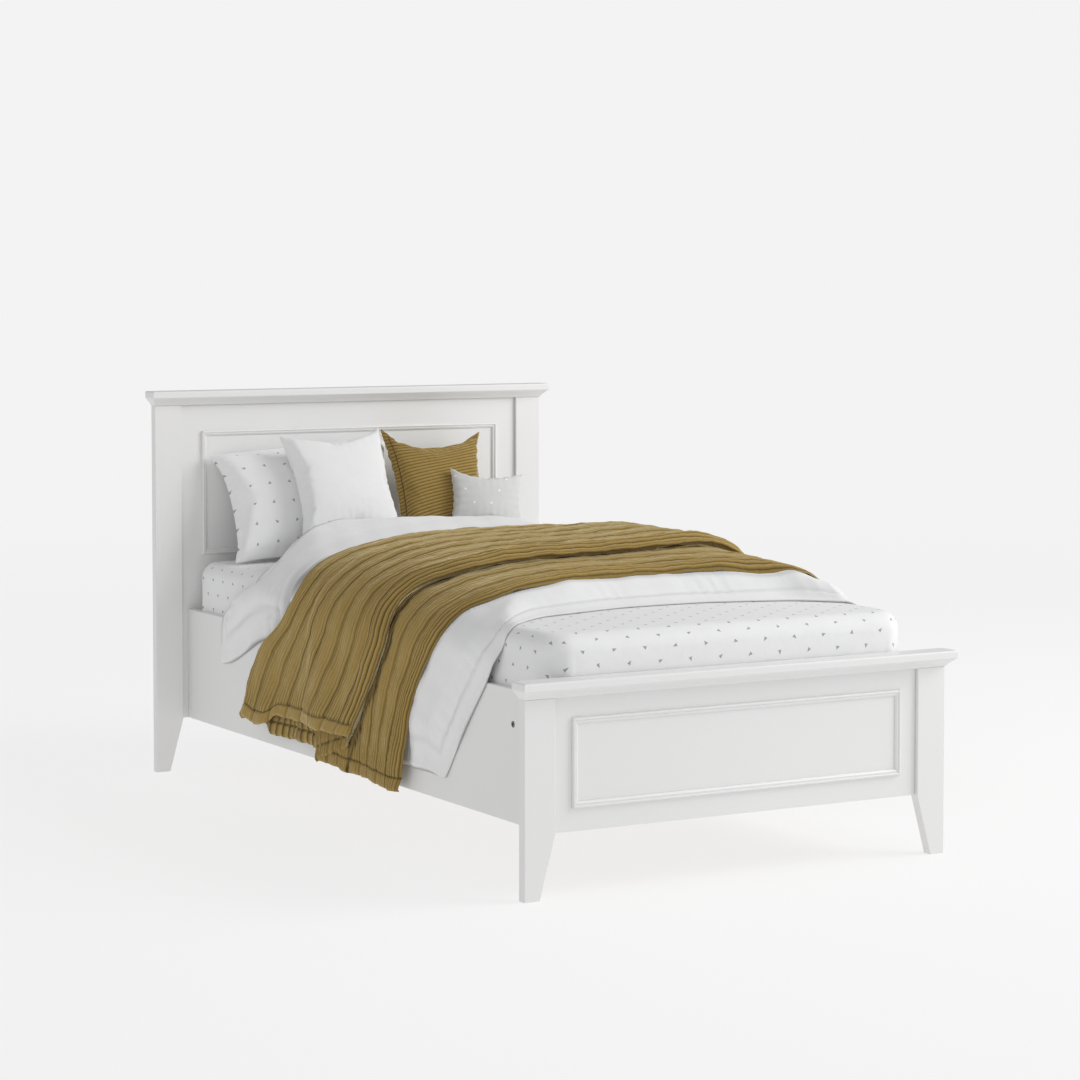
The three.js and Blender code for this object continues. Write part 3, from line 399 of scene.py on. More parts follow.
piping_line = bpy.data.curves.new("mattress_piping", "CURVE")
piping_line.dimensions = "3D"
piping_line.bevel_depth = 0.003
piping_line.bevel_resolution = 2
piping_height = mattress_low.z + mattress_edge * 0.3
piping_inset = mattress_edge * 0.29 * 0.78 + 0.0025
turn_radius = mattress_corner - piping_inset
corners = []
for turn, (sx, sy) in enumerate(((1, 1), (-1, 1), (-1, -1), (1, -1))):
    turn_x = mattress_middle.x + sx * (half_x - mattress_corner)
    turn_y = mattress_middle.y + sy * (half_y - mattress_corner)
    for step in range(9):
        angle = math.radians(90 * turn + 90 * step / 8)
        x, y = turn_x + turn_radius * math.cos(angle), turn_y + turn_radius * math.sin(angle)
        corners.append((x, y, piping_height, 1))
spline = piping_line.splines.new("POLY")
spline.points.add(len(corners) - 1)
for point, corner in zip(spline.points, corners):
    point.co = corner
spline.use_cyclic_u = True
piping_line.materials.append(ticking)
piping = new_object("mattress_piping", piping_line)
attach(piping, "root")

# Fitted sheet: printed cotton, stretched over the mattress.
# Cut flat with darted corners and gathered by an elastic, so it lies smooth on top and puckers at
# its corners and along its lower edge. Small grey marks are printed on it in staggered rows.


def printed_marks(tree, pitch, row, stagger, size, keep=1.0):
    """1 inside small triangles that stand in rows, each turned its own way."""
    x, y, _ = coordinates(tree, cloth_place(tree))
    wide, high = maths(tree, "DIVIDE", x, pitch), maths(tree, "DIVIDE", y, row)
    row_number = maths(tree, "FLOOR", high)
    odd_row = maths(tree, "ABSOLUTE", maths(tree, "MODULO", row_number, 2.0))
    across = maths(tree, "ADD", wide, product(tree, odd_row, stagger))
    cell = add(tree, "CombineXYZ")
    tree.links.new(maths(tree, "FLOOR", across), cell.inputs[0])
    tree.links.new(row_number, cell.inputs[1])
    chance = add(tree, "TexWhiteNoise")
    tree.links.new(cell.outputs[0], chance.inputs["Vector"])
    local = add(tree, "CombineXYZ")
    for socket, cells, spacing in ((local.inputs[0], across, pitch), (local.inputs[1], high, row)):
        from_middle = maths(tree, "SUBTRACT", maths(tree, "FRACT", cells), 0.5)
        tree.links.new(product(tree, from_middle, spacing), socket)
    turned = add(tree, "VectorRotate", rotation_type="Z_AXIS")
    tree.links.new(local.outputs[0], turned.inputs["Vector"])
    angle = product(tree, chance.outputs["Value"], 6.283)
    tree.links.new(angle, turned.inputs["Angle"])
    x, y, _ = coordinates(tree, turned.outputs[0])
    # A triangle's three sides, somewhat stretched
    stretched = product(tree, y, 0.72)
    aslant = product(tree, x, 0.866)
    upward = product(tree, stretched, 0.5)
    right, left = maths(tree, "ADD", aslant, upward), maths(tree, "SUBTRACT", upward, aslant)
    base = product(tree, stretched, -1.0)
    far = maths(tree, "MAXIMUM", base, maths(tree, "MAXIMUM", right, left))
    inside = maths(tree, "LESS_THAN", far, size / 3.4)
    return product(tree, inside, maths(tree, "LESS_THAN", chance.outputs["Color"], keep))


def cotton(name, colour, shade, marks=None, mark_colour=None, crease_and_painted_shade=False):
    """Plain-woven cotton with a soft nap, fine threads and, if given, a print and painted shade in
    its creases and gaps.
    """
    material, tree, shader = new_material(
        name, colour, 0.92, Sheen_Weight=0.25, Sheen_Roughness=0.5, Specular_IOR_Level=0.25,
    )
    place = cloth_place(tree)
    ground = mixed(tree, noise(tree, place, 22.0, 6.0), shade, colour)
    if marks:
        ground = mixed(tree, printed_marks(tree, *marks), ground, mark_colour)
    if crease_and_painted_shade:
        # Painted shade: an amount kept on the cloth greys it in creases, narrow gaps and on its
        # inner face
        depth = add(tree, "Attribute", attribute_name="crease_and_painted_shade").outputs["Fac"]
        ground = mixed(tree, depth, ground, (0.42, 0.42, 0.425))
    tree.links.new(ground, shader.inputs["Base Color"])
    creases = noise(tree, place, 5.0, 4.0, Roughness=0.6)
    threads = product(tree, weave(tree, 0.0009), 0.002)
    raised(tree, shader, maths(tree, "ADD", creases, threads), 0.006, 0.7)
    return material


white_shade, white_cloth = (0.82, 0.822, 0.824), (0.87, 0.871, 0.872)
grey_print = (0.37, 0.37, 0.37)
# A print's spacing, its rows, the shift of every other row, and the size of its marks
sheet_print = (0.083, 0.0335, 0.5, 0.0092)
sheet_cotton = cotton("sheet_cotton", white_cloth, white_shade, sheet_print, grey_print)

bm = foam_block(0.0019, 0.022)
bm.normal_update()
elastic = mattress_low.z + 0.012  # the lower edge, a little up the side
below = [f for f in bm.faces if f.normal.z < -0.7 or f.calc_center_median().z < elastic]
bmesh.ops.delete(bm, geom=below, context="FACES")
map_cloth(bm, unfold_block)
for v in bm.verts:
    x, y = v.co.x - mattress_middle.x, v.co.y - mattress_middle.y
    low = min(1, max(0, (mattress_high.z - 0.03 - v.co.z) / (mattress_thickness - 0.03)))
    if low <= 0:
        continue
    from_corner = math.hypot(max(0, half_x - abs(x) - 0.02), max(0, half_y - abs(y) - 0.02))
    near_corner = math.exp(-((from_corner / 0.12) ** 2))
    swing = math.atan2(abs(y) - half_y + mattress_corner, abs(x) - half_x + mattress_corner)
    pucker = math.sin(11 * swing) * 0.0032 * near_corner * low
    gather = math.sin(x * 74 + y * 61 + 2 * math.sin(9 * x)) * 0.0012 * low**3
    out = Vector((v.normal.x, v.normal.y, 0))
    v.co += out * (pucker + gather + 0.0015 * near_corner * low)
fitted_sheet = make_piece(bm, "fitted_sheet_cloth", sheet_cotton)
skin = fitted_sheet.modifiers.new("cloth", "SOLIDIFY")
skin.thickness, skin.offset = 0.0012, 1
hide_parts("fitted_sheet")

# Duvet: a filled quilt in a plain white cover with a flat border sewn all round.
# It is spread from the pillows to near the foot and hangs over both rails. Its foot edge is drawn
# back in the middle, and its head end is a soft roll below the pillows.

rail_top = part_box("side_rail_left")[1].z
sheet_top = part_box("fitted_sheet")[1].z - mattress_crown
duvet_foot, duvet_head = -0.795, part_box("duvet")[1].y
spring = rail_top + 0.3 * (sheet_top - rail_top)
duvet_inner_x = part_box("side_rail_right")[1].x + 0.002
duvet_side, duvet_border = 0.022, 0.045
section_shares = np.sin(np.linspace(0, np.pi / 2, 400))
arch_power, usual_top = 0.45, 0.7
# Each side of the bed: half width, roundness of the shoulder, and how far it rises to the side
section_sides = (
    (duvet_inner_x + duvet_side, 3.3, 0.0), (duvet_inner_x + duvet_side + 0.006, 5.0, 0.018),
)


def smooth(value):
    value = np.clip(value, 0, 1)
    return value * value * (3 - 2 * value)


def near(distance, width):
    """1 on a line, and fading to nothing over a few widths beside it."""
    return np.exp(-((distance / width) ** 2))


def along_curve(places, reach, rounding=11):
    """A line through given places, rounded off where it bends, over that many centimetres."""
    at, value = np.array(places).T
    fine = np.linspace(0, 1.15, 116)
    kernel = np.hanning(rounding) / np.hanning(rounding).sum()
    evened = np.pad(np.interp(fine, at, value), rounding // 2, mode="edge")
    return np.interp(reach, fine, np.convolve(evened, kernel, "valid"))


def quilt_top(along):
    """Height of the filled quilt over the middle of the bed."""
    share = (along - duvet_foot) / (duvet_head - duvet_foot)
    rise = 0.096 + 0.0335 * smooth((share - 0.74) / 0.18) - 0.034 * (1 - smooth(share / 0.5))
    return sheet_top + mattress_crown + rise


def section_lengths(width, roundness):
    rise = np.maximum(1 - section_shares**roundness, 0) ** arch_power
    steps = np.hypot(np.diff(width * section_shares), np.diff((usual_top - spring) * rise))
    return np.concatenate([[0], np.cumsum(steps)])


arch_lengths = [float(section_lengths(*side[:2])[-1]) for side in section_sides]


def over_the_bed(across, along, lift):
    """Points of the full quilt, at a distance across its cloth from the middle of the bed."""
    points = []
    for width, roundness, leaning in section_sides:
        lengths = section_lengths(width, roundness)

        def section(distance):
            share = np.interp(np.minimum(distance, lengths[-1]), lengths, section_shares)
            top = quilt_top(along) + leaning * smooth(width * share / 0.4)
            arch = np.maximum(1 - share**roundness, 0) ** arch_power
            height = spring + (top - spring) * arch - np.maximum(0, distance - lengths[-1])
            return width * share, height

        distance = np.abs(across)
        x, z = section(distance)
        ahead_x, ahead_z = section(distance + 0.004)
        back_x, back_z = section(np.maximum(distance - 0.004, 0))
        dx, dz = ahead_x - back_x, ahead_z - back_z
        size = np.maximum(np.hypot(dx, dz), 1e-9)
        points.append(np.stack([
            np.sign(across) * (x - dz / size * lift), along + 0 * x, z + dx / size * lift,
        ], axis=-1))
    share = (along - duvet_foot) / (duvet_head - duvet_foot) + 0 * across
    square = points[1] + (points[0] - points[1]) * smooth((share - 0.55) / 0.25)[..., None]
    return np.where((across < 0)[..., None], points[0], square)


def close_to_sheet(across, along):
    """Points where the quilt lies flat: over the mattress edge and down past the rail."""
    side = half_x + 0.0039
    flat = side - mattress_edge
    distance = np.abs(across)
    angle = np.clip((distance - flat) / mattress_edge, 0, math.pi / 2)
    down = np.maximum(0, distance - flat - mattress_edge * math.pi / 2)
    x = np.minimum(distance, flat) + mattress_edge * np.sin(angle)
    x = x + (duvet_inner_x - side) * smooth(down / 0.06)
    length = np.clip(1 - (np.abs(along - mattress_middle.y) / half_y) ** 4, 0, 1)
    crown = mattress_crown * np.clip(1 - (x / half_x) ** 2, 0, 1) * length
    z = sheet_top + 0.0025 + crown - mattress_edge * (1 - np.cos(angle)) - down
    return np.stack([np.sign(across) * x, along + 0 * x, z], axis=-1)


# Distance across the cloth from the middle, and how far along the bed the edge lies there
duvet_foot_places = (
    (0, -0.662), (0.12, -0.664), (0.25, -0.685), (0.36, -0.7), (0.43, -0.745), (0.49, -0.795),
    (0.56, -0.77), (0.62, -0.735), (0.7, -0.665), (0.78, -0.6), (0.86, -0.54), (1.1, -0.35),
)
duvet_head_places = (
    ((0, 0.78), (0.27, 0.78), (0.34, 0.745), (0.41, 0.66), (0.46, 0.59), (0.5, 0.57), (0.53, 0.59),
     (0.56, 0.64), (0.59, 0.72), (0.62, 0.765), (0.68, 0.78), (0.75, 0.785), (1.1, 0.785)),
    ((0, 0.78), (0.48, 0.78), (0.56, 0.75), (0.64, 0.75), (0.72, 0.78), (1.1, 0.78)),
)
# A crease runs on from the drawn-in head edge on the left, where the border is folded over
duvet_crease_places = (
    (0, 0.7), (0.18, 0.668), (0.255, 0.635), (0.32, 0.605), (0.4, 0.575), (0.5, 0.56),
)


def on_the_quilt(across, along, lift):
    """The quilt's outer face, from its thin foot edge to its full body, and what lies on it."""
    from_foot = along - along_curve(duvet_foot_places, np.abs(across))
    ramp = 0.14 - 0.04 * smooth((np.abs(across) - 0.3) / 0.15)
    fill = smooth(from_foot / ramp)
    close, full = close_to_sheet(across, along), over_the_bed(across, along, lift)
    away = full - close
    size = np.maximum(np.linalg.norm(away, axis=-1), 1e-9)
    thin = close + away / size[..., None] * np.minimum(size, 0.004 + lift)[..., None]
    return thin + (full - thin) * fill[..., None], fill


def wobble(a, b, seed=0.0):
    """A slow, smooth unevenness between -1 and 1."""
    return (
        np.sin(a + b * 0.7 + seed)
        + np.sin(a * 2.3 - b * 1.1 + 2.1 * seed + 1.3)
        + np.sin(-a * 0.6 + b * 2.9 + 0.7 * seed + 4.0)
    ) / 3


# The same for the throw, which presses the quilt down: its foot edge, ridge and head edge, each
# on the left and on the right
throw_places = {
    "foot": (
        ((0, -0.55), (0.2, -0.56), (0.3, -0.578), (0.42, -0.58), (0.5, -0.545), (0.58, -0.535),
         (0.65, -0.487), (0.69, -0.45), (0.74, -0.407), (0.82, -0.379), (0.9, -0.357), (1.1, -0.3)),
        ((0, -0.55), (0.14, -0.56), (0.25, -0.585), (0.37, -0.62), (0.46, -0.65), (0.55, -0.62),
         (0.65, -0.52), (0.75, -0.43), (0.85, -0.39), (1.1, -0.32)),
    ),
    "ridge": (
        ((0, -0.33), (0.2, -0.34), (0.36, -0.345), (0.46, -0.3), (0.52, -0.278), (0.62, -0.296),
         (0.72, -0.23), (0.78, -0.18), (0.84, -0.135), (0.9, -0.085), (1.1, 0.03)),
        ((0, -0.33), (0.2, -0.335), (0.4, -0.3), (0.5, -0.28), (0.7, -0.22), (0.85, -0.12),
         (1.1, 0.02)),
    ),
    "head": (
        ((0, 0.33), (0.2, 0.28), (0.35, 0.262), (0.44, 0.285), (0.5, 0.27), (0.58, 0.26),
         (0.65, 0.33), (0.71, 0.44), (0.8, 0.505), (0.88, 0.53), (0.94, 0.58), (1.1, 0.62)),
        ((0, 0.33), (0.25, 0.34), (0.45, 0.32), (0.55, 0.31), (0.65, 0.36), (0.75, 0.46),
         (0.9, 0.53), (1.1, 0.6)),
    ),
}


def throw_line(which, across, rounding=11):
    left, right = (along_curve(side, np.abs(across), rounding) for side in throw_places[which])
    return np.where(across < 0, left, right)


def half_width(across, hem):
    return np.where(across < 0, arch_lengths[0], arch_lengths[1]) + spring - hem


def duvet_sides(u, v):
    """Outer and inner face of the quilt, for u across from -1 to 1 and v from foot to head."""
    along = duvet_foot + v * (duvet_head - duvet_foot)
    for _ in range(3):
        hem = 0.262 + 0.225 * smooth((along + 0.1) / 0.5) - 0.1 * smooth((along - 0.45) / 0.33)
        half = half_width(u, hem)
        across = u * half
        distance = np.abs(across)
        foot_line = along_curve(duvet_foot_places, distance)
        left_line, right_line = (along_curve(side, distance) for side in duvet_head_places)
        head_line = np.where(across < 0, left_line, right_line)
        along = foot_line + v * (head_line - foot_line)
    from_side, from_foot, from_head = half - distance, along - foot_line, head_line - along
    edge = np.minimum(np.minimum(from_foot, from_head), from_side)
    past_foot, past_head = (along - throw_line(end, across) for end in ("foot", "head"))
    close = close_to_sheet(across, along)
    full, fill = on_the_quilt(across, along, 0.0)
    head = np.sqrt(1 - (1 - np.clip((from_head - 0.006) / 0.2, 0, 1)) ** 2)
    body = head * (0.2 + 0.8 * smooth((from_side - 0.01) / 0.06))
    outer = close + (full - close) * body[..., None]
    sideways = np.sign(across) * smooth((distance - 0.36) / 0.3)
    out = np.stack([sideways, 0 * across, 1 - smooth((distance - 0.45) / 0.22)], axis=-1)
    out /= np.maximum(np.linalg.norm(out, axis=-1, keepdims=True), 1e-9)

    def thickness(face):
        return np.sum((face - close) * out, axis=-1)

    outer = outer + out * np.maximum(0, 0.004 - thickness(outer))[..., None]
    pressed = smooth((past_foot + 0.01) / 0.04) * smooth((0.005 - past_head) / 0.03)
    hang = np.clip((spring - outer[..., 2]) / (spring - hem), 0, 1)
    puff = 0.005 * wobble(across * 9, along * 8) + 0.0025 * wobble(across * 29, along * 23, 3)
    folds = 0.006 * hang * (0.5 + 0.5 * np.sin(along * 16.1)) + 0.004 * hang**2 * np.sin(along * 47)
    # The cloth gathers beside the throw where that pulls it towards the foot.
    beside = near(past_head - 0.05, 0.07) * smooth((distance - 0.42) / 0.12)
    waves = np.maximum(0, np.sin(along * 88 + distance * 34))
    gathers = 0.012 * beside * waves**1.5
    crease = along - along_curve(duvet_crease_places, distance)
    crease_and_painted_shade = (across < 0) * smooth((0.44 - distance) / 0.05) * smooth((distance - 0.02) / 0.1)
    fold = np.where(crease > 0, -0.024 * np.exp(-crease / 0.03), 0.007 * np.exp(crease / 0.015))
    stitch = -0.003 * near(edge - duvet_border, 0.0035)
    run = np.where(from_side < np.minimum(from_foot, from_head), along, across)
    ruffle = 0.0032 * np.sin(run * 190) * wobble(run * 14, edge * 3, 2)
    ruffle = ruffle * near(edge - duvet_border - 0.018, 0.03)
    bumps = puff * fill * body + folds + crease_and_painted_shade * fold + gathers + stitch + ruffle
    bumps = np.maximum(bumps * (1 - pressed) - 0.005 * pressed, 0.0035 - thickness(outer))
    curl = 0.007 * np.exp(-from_head / 0.012) * (1 - smooth((distance - 0.6) / 0.1))
    outer = outer + out * (bumps + curl)[..., None]
    inner = close + out * (0.3 * folds * (1 - pressed) + curl)[..., None]
    # Painted shade, which greys the cloth through its attribute: along the crease, the border's
    # seam, the furrows between the gathers, and the narrow gaps under the throw's edges and the
    # quilt's own head edge.
    gap = past_head - 0.034 - 0.02 * (1 - smooth((distance - 0.35) / 0.25))
    shade = 0.8 * crease_and_painted_shade * near(crease, 0.009) + 0.35 * near(edge - duvet_border, 0.003)
    shade += 0.9 * near(gap, 0.008) * (across < 0) * smooth((distance - 0.2) / 0.15)
    shade += 0.7 * near(from_head, 0.004) * (across < 0) * (distance < 0.7)
    shade += 0.5 * near(past_foot + 0.004, 0.006) + 0.6 * beside * (1 - waves) ** 2
    shade = np.clip(shade * (1 - 0.9 * pressed), 0, 1)
    return outer, inner, np.stack([across, along], axis=-1), shade


def grid_sheet(columns, rows):
    """A flat grid of faces, with its corners in order of row and column."""
    bm = bmesh.new()
    bmesh.ops.create_grid(bm, x_segments=columns, y_segments=rows, size=1)
    return bm, sorted(bm.verts, key=lambda v: (round(v.co.y, 5), round(v.co.x, 5)))


def map_grid(bm, order, flat):
    flat_place = dict(zip(order, flat.reshape(-1, 2)))
    map_cloth(bm, lambda face, vert: flat_place[vert])


def twin_of(bm):
    """A copy of the cloth for its other face."""
    return bmesh.ops.duplicate(bm, geom=bm.verts[:] + bm.edges[:] + bm.faces[:])


def join_round(bm, twin):
    """Turns the copy over and closes the two faces all round."""
    backs = [f for f in twin["geom"] if isinstance(f, bmesh.types.BMFace)]
    bmesh.ops.reverse_faces(bm, faces=backs)
    bmesh.ops.bridge_loops(bm, edges=[e for e in bm.edges if e.is_boundary])
    bmesh.ops.recalc_face_normals(bm, faces=bm.faces[:])


def vertex_numbers(bm, order):
    bm.verts.index_update()
    return [vert.index for vert in order]


def give_amounts(piece, numbers, name, amounts, elsewhere=0.0):
    """Keeps an amount at each corner of the cloth, which its material reads by that name."""
    by_vertex = np.full(len(piece.data.vertices), elsewhere)
    by_vertex[numbers] = amounts.ravel()
    piece.data.attributes.new(name, "FLOAT", "POINT").data.foreach_set("value", by_vertex)


duvet_cotton = cotton("duvet_cotton", white_cloth, white_shade, crease_and_painted_shade=True)
even_steps = np.linspace(-1, 1, 181)
duvet_across = np.sign(even_steps) * (1 - (1 - np.abs(even_steps)) ** 1.25)
duvet_along = np.concatenate([
    np.linspace(0, 0.12, 34, endpoint=False),
    np.linspace(0.12, 0.6, 50, endpoint=False),
    np.linspace(0.6, 0.84, 56, endpoint=False),
    1 - 0.16 * np.linspace(1, 0, 48) ** 1.4,
])
bm, order = grid_sheet(len(duvet_across) - 1, len(duvet_along) - 1)
outer, inner, flat, shade = duvet_sides(*np.meshgrid(duvet_across, duvet_along))
map_grid(bm, order, flat)
twin = twin_of(bm)
for vert, outside, inside in zip(order, outer.reshape(-1, 3), inner.reshape(-1, 3)):
    twin["vert_map"][vert].co = inside
    vert.co = outside
join_round(bm, twin)
numbers = vertex_numbers(bm, order)
duvet = make_piece(bm, "duvet_quilt", duvet_cotton)
# Painted shade: the amounts above on the outer face, and 0.7 on the inner face and the rim
give_amounts(duvet, numbers, "crease_and_painted_shade", shade, 0.7)
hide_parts("duvet")

# Throw: a ribbed and quilted cover, laid across the bed over the duvet.
# Cords run across the bed in its cloth, with a quilted seam after every few of them and a turned
# hem. Its head side is folded under, and a wide flat pleat across it ends in a rolled ridge.

rib_pitch, seam_ribs = 0.014, 6
under_fold = 0.105  # how far along the bed the pleat's inner fold lies
turned_under = 0.125  # where the part folded under at the head ends
throw_seam = 0.035  # from the hem to its stitching
# Heights over the quilt of the layers' middles, and what the pleat adds to the upper one
lower_height, between_height, upper_height, pleat_height = 0.0045, 0.0135, 0.0155, 0.0115
# Layers from the foot edge on: name, number of stations, length of cloth
throw_layers = (
    ("lower", 264, 0.66), ("fold_back", 7, 0.014), ("between", 54, 0.43), ("ridge", 14, 0.026),
    ("upper", 252, 0.63), ("head", 8, 0.018), ("turned", 70, 0.2),
)
layer_names = [name for name, _, _ in throw_layers]
lower, ridge_roll, upper, turned = map(layer_names.index, ("lower", "ridge", "upper", "turned"))
stations, cloth_run = [], 0.0
for layer, (_, count, length) in enumerate(throw_layers):
    first = 0 if layer == 0 else 1
    for k in range(first, count):
        stations.append((layer, k / (count - 1), cloth_run + length * k / (count - 1)))
    cloth_run += length


def throw_surface(across_share):
    """The throw's points, their flat places, how bunched it is there, and its stitch lines and
    painted shade.
    """
    layer, share, long = (column[:, None] for column in np.array(stations).T)
    layer = layer.astype(int)
    # The hem hangs lowest at the foot, and highest where the upper layer lies over the pleat.
    drawn_up = 0.034 * smooth((share - 0.66) / 0.14) - 0.012 * smooth((share - 0.86) / 0.14)
    hem = np.choose(layer, [
        0.142 + 0.016 * share, 0.158 + 0 * share, 0.158 + 0.06 * share, 0.218 + 0.03 * share,
        0.248 - 0.004 * share - drawn_up, 0.222 - 0.012 * share,
        0.21 - 0.022 * smooth((share - 0.32) / 0.06),
    ])
    half = half_width(across_share, hem)
    across = across_share * half
    distance = np.abs(across)
    from_hem = half - distance
    foot, ridge, head = (throw_line(which, across) for which in throw_places)
    calm_foot, calm_ridge, calm_head = (throw_line(which, across, 51) for which in throw_places)
    bend = np.sin(np.pi * share)
    rise = 1 - np.cos(np.pi * share)
    along = np.choose(layer, [
        calm_foot + (under_fold - calm_foot) * share + (foot - calm_foot) * (1 - share) ** 3.5,
        under_fold + 0.0045 * bend,
        under_fold + (ridge + 0.004 - under_fold) * share,
        ridge + 0.004 - 0.008 * bend,
        calm_ridge + 0.004 + (calm_head - calm_ridge - 0.004) * share
        + (ridge - calm_ridge) * (1 - share) ** 3.5 + (head - calm_head) * share**3.5,
        head + 0.008 * bend,
        head + (turned_under - head) * share,
    ])
    from_ridge = along - ridge

    def rolled(past):
        """What the rolled ridge adds to the upper layer."""
        return 0.009 * near(past - 0.045, 0.03) - 0.008 * near(past, 0.02)

    dip = smooth((distance - 0.4) / 0.08) * smooth((0.78 - distance) / 0.1)
    over_pleat = pleat_height * smooth((under_fold + 0.05 - along) / 0.07) + rolled(from_ridge)
    over_pleat = over_pleat - 0.006 * near(from_ridge - 0.083, 0.014) * dip
    ridge_height = upper_height + pleat_height + rolled(0.004)
    height = np.choose(layer, [
        lower_height,
        lower_height + 0.0045 * rise,
        between_height,
        between_height + (ridge_height - between_height) * 0.5 * rise,
        upper_height + over_pleat,
        upper_height - 0.0055 * rise,
        lower_height,
    ])
    # Cords show where the cloth is bunched: at the seams, hems, foot edge and ridge.
    rib = long / rib_pitch
    from_seam = np.abs((rib + seam_ribs / 2) % seam_ribs - seam_ribs / 2)
    bunched = 0.1 + near(from_seam, 1.65) * (0.7 + 0.3 * wobble(long * 21, across * 6, 4))
    by_ridge = (layer == ridge_roll) | (layer == upper)
    for amount in (
        0.6 * smooth((0.12 - from_hem) / 0.06),
        1.1 * smooth((0.085 - long) / 0.03) * (layer == lower),
        1.1 * smooth((0.085 - from_ridge) / 0.03) * by_ridge,
        1.0 * (layer == turned),
    ):
        bunched = np.maximum(bunched, amount)
    plain_hem = np.choose(layer, [0.4, 0, 0, 0.7, 0.85, 0.6, 0])
    bunched = bunched * (1 - plain_hem * smooth((0.038 - from_hem) / 0.004))
    cords = 0.0042 * bunched * (np.abs(np.cos(np.pi * rib)) - 0.5)
    seams = -0.0035 * near(from_seam, 0.42) * (0.7 + 0.3 * wobble(long * 5, across * 9, 2))
    puffs = 0.0042 * np.sin(np.pi * from_seam / seam_ribs) ** 0.7
    dimples = wobble(across * 61, long * 37, 6) + wobble(across * 24, long * 19, 9)
    facing = np.choose(layer, [1, 1, -1, 1, 1, 1, -1])
    relief = facing * (cords + seams + puffs + 0.002 * dimples)
    stitch = -0.003 * near(from_hem - throw_seam, 0.0032)
    thin_edge = -0.0045 * (2 - smooth(from_hem / 0.007) - smooth(long / 0.006))
    hang = smooth((0.36 - from_hem) / 0.3)
    sway = 0.007 * hang * (0.5 + 0.5 * np.sin(along * 16.1))
    sway = sway + 0.004 * hang**2 * wobble(along * 21, 2 * layer, 1)
    flare = np.choose(layer, [0, 0, 0.4, 1, 1, 1, 0.5]) * smooth((0.13 - from_hem) / 0.13)
    sway = sway + 0.01 * flare * (0.6 + 0.4 * np.sin(along * 13 + 2))
    points, _ = on_the_quilt(across, along, height + relief + stitch + thin_edge + sway)
    points[..., 2] += 0.004 * smooth((0.07 - from_hem) / 0.07) * wobble(along * 33, 3 * layer)
    # Darker lines along the hem's stitching and the quilted seams: stitches, with painted shade in
    # their grooves
    stitches_and_painted_shade = 0.85 * near(from_hem - throw_seam, 0.0026) + 0.45 * near(from_seam, 0.25)
    # A painted shadow on the lower layer, under the ridge's roll
    stitches_and_painted_shade = stitches_and_painted_shade + 1.2 * near(from_ridge + 0.009, 0.006) * (layer == lower)
    flat = np.stack(np.broadcast_arrays(across, long), axis=-1)
    return points, flat, np.clip(bunched, 0, 1), np.clip(stitches_and_painted_shade, 0, 0.9)


def ochre_cloth(name, pitch, lean=0.0, bunching=None, seam=None):
    """Washed ochre cotton with cords, with painted shade in its furrows and a painted highlight on
    its crests, as strong as the cloth is bunched there.
    """
    material, tree, shader = new_material(
        name, (0.31, 0.21, 0.07), 0.95, Sheen_Weight=0.75, Sheen_Roughness=0.35,
        Sheen_Tint=(1.0, 0.9, 0.6, 1), Specular_IOR_Level=0.12,
    )
    place = cloth_place(tree)
    x, y, _ = coordinates(tree, place)
    run = maths(tree, "MULTIPLY_ADD", x, lean, y)
    turns = product(tree, run, math.pi / pitch)
    cord = maths(tree, "ABSOLUTE", maths(tree, "COSINE", turns))
    amount = bunching or add(tree, "Attribute", attribute_name="bunched").outputs["Fac"]
    # Painted shade in the furrows and a painted highlight on the crests, over the cloth's own
    # uneven tone
    valley = maths(tree, "POWER", maths(tree, "SUBTRACT", 1.0, cord), 1.4)
    painted_furrow_shade = product(tree, valley, amount)
    painted_crest_highlight = product(tree, maths(tree, "POWER", cord, 4.0), product(tree, amount, 0.35))
    wear_and_painted_light = mixed(tree, noise(tree, place, 16.0, 7.0), (0.33, 0.222, 0.066), (0.39, 0.265, 0.085))
    wear_and_painted_light = mixed(tree, painted_crest_highlight, wear_and_painted_light, (0.47, 0.335, 0.125))
    wear_and_painted_light = mixed(tree, painted_furrow_shade, wear_and_painted_light, (0.075, 0.048, 0.013))
    if not bunching:
        # Stitch lines, and the painted shadow under the ridge, from the amounts kept on the throw
        stitches_and_painted_shade = add(tree, "Attribute", attribute_name="stitches_and_painted_shade").outputs["Fac"]
        wear_and_painted_light = mixed(tree, stitches_and_painted_shade, wear_and_painted_light, (0.06, 0.038, 0.01))
    if seam:
        # The stitching that closes the cover inside its flat border, darkened as painted shade in
        # its groove
        edge, top = (
            maths(tree, "SUBTRACT", maths(tree, "ABSOLUTE", axis), end)
            for axis, end in zip((x, y), seam)
        )
        off = maths(tree, "ABSOLUTE", maths(tree, "MAXIMUM", edge, top))
        stitches_and_painted_shade = product(tree, maths(tree, "LESS_THAN", off, 0.0016), 0.8)
        wear_and_painted_light = mixed(tree, stitches_and_painted_shade, wear_and_painted_light, (0.12, 0.08, 0.025))
    tree.links.new(wear_and_painted_light, shader.inputs["Base Color"])
    crinkle = noise(tree, place, 48.0, 2.0)
    pucker = noise(tree, place, 23.0, 2.0, Distortion=0.8)
    threads = product(tree, weave(tree, 0.0016), 0.01)
    ribs = product(tree, product(tree, cord, amount), 0.35)
    relief = maths(tree, "ADD", maths(tree, "ADD", crinkle, threads), ribs)
    relief = maths(tree, "ADD", relief, product(tree, pucker, 1.3))
    raised(tree, shader, relief, 0.003, 0.85)
    return material


ochre = ochre_cloth("ochre_quilt", rib_pitch)

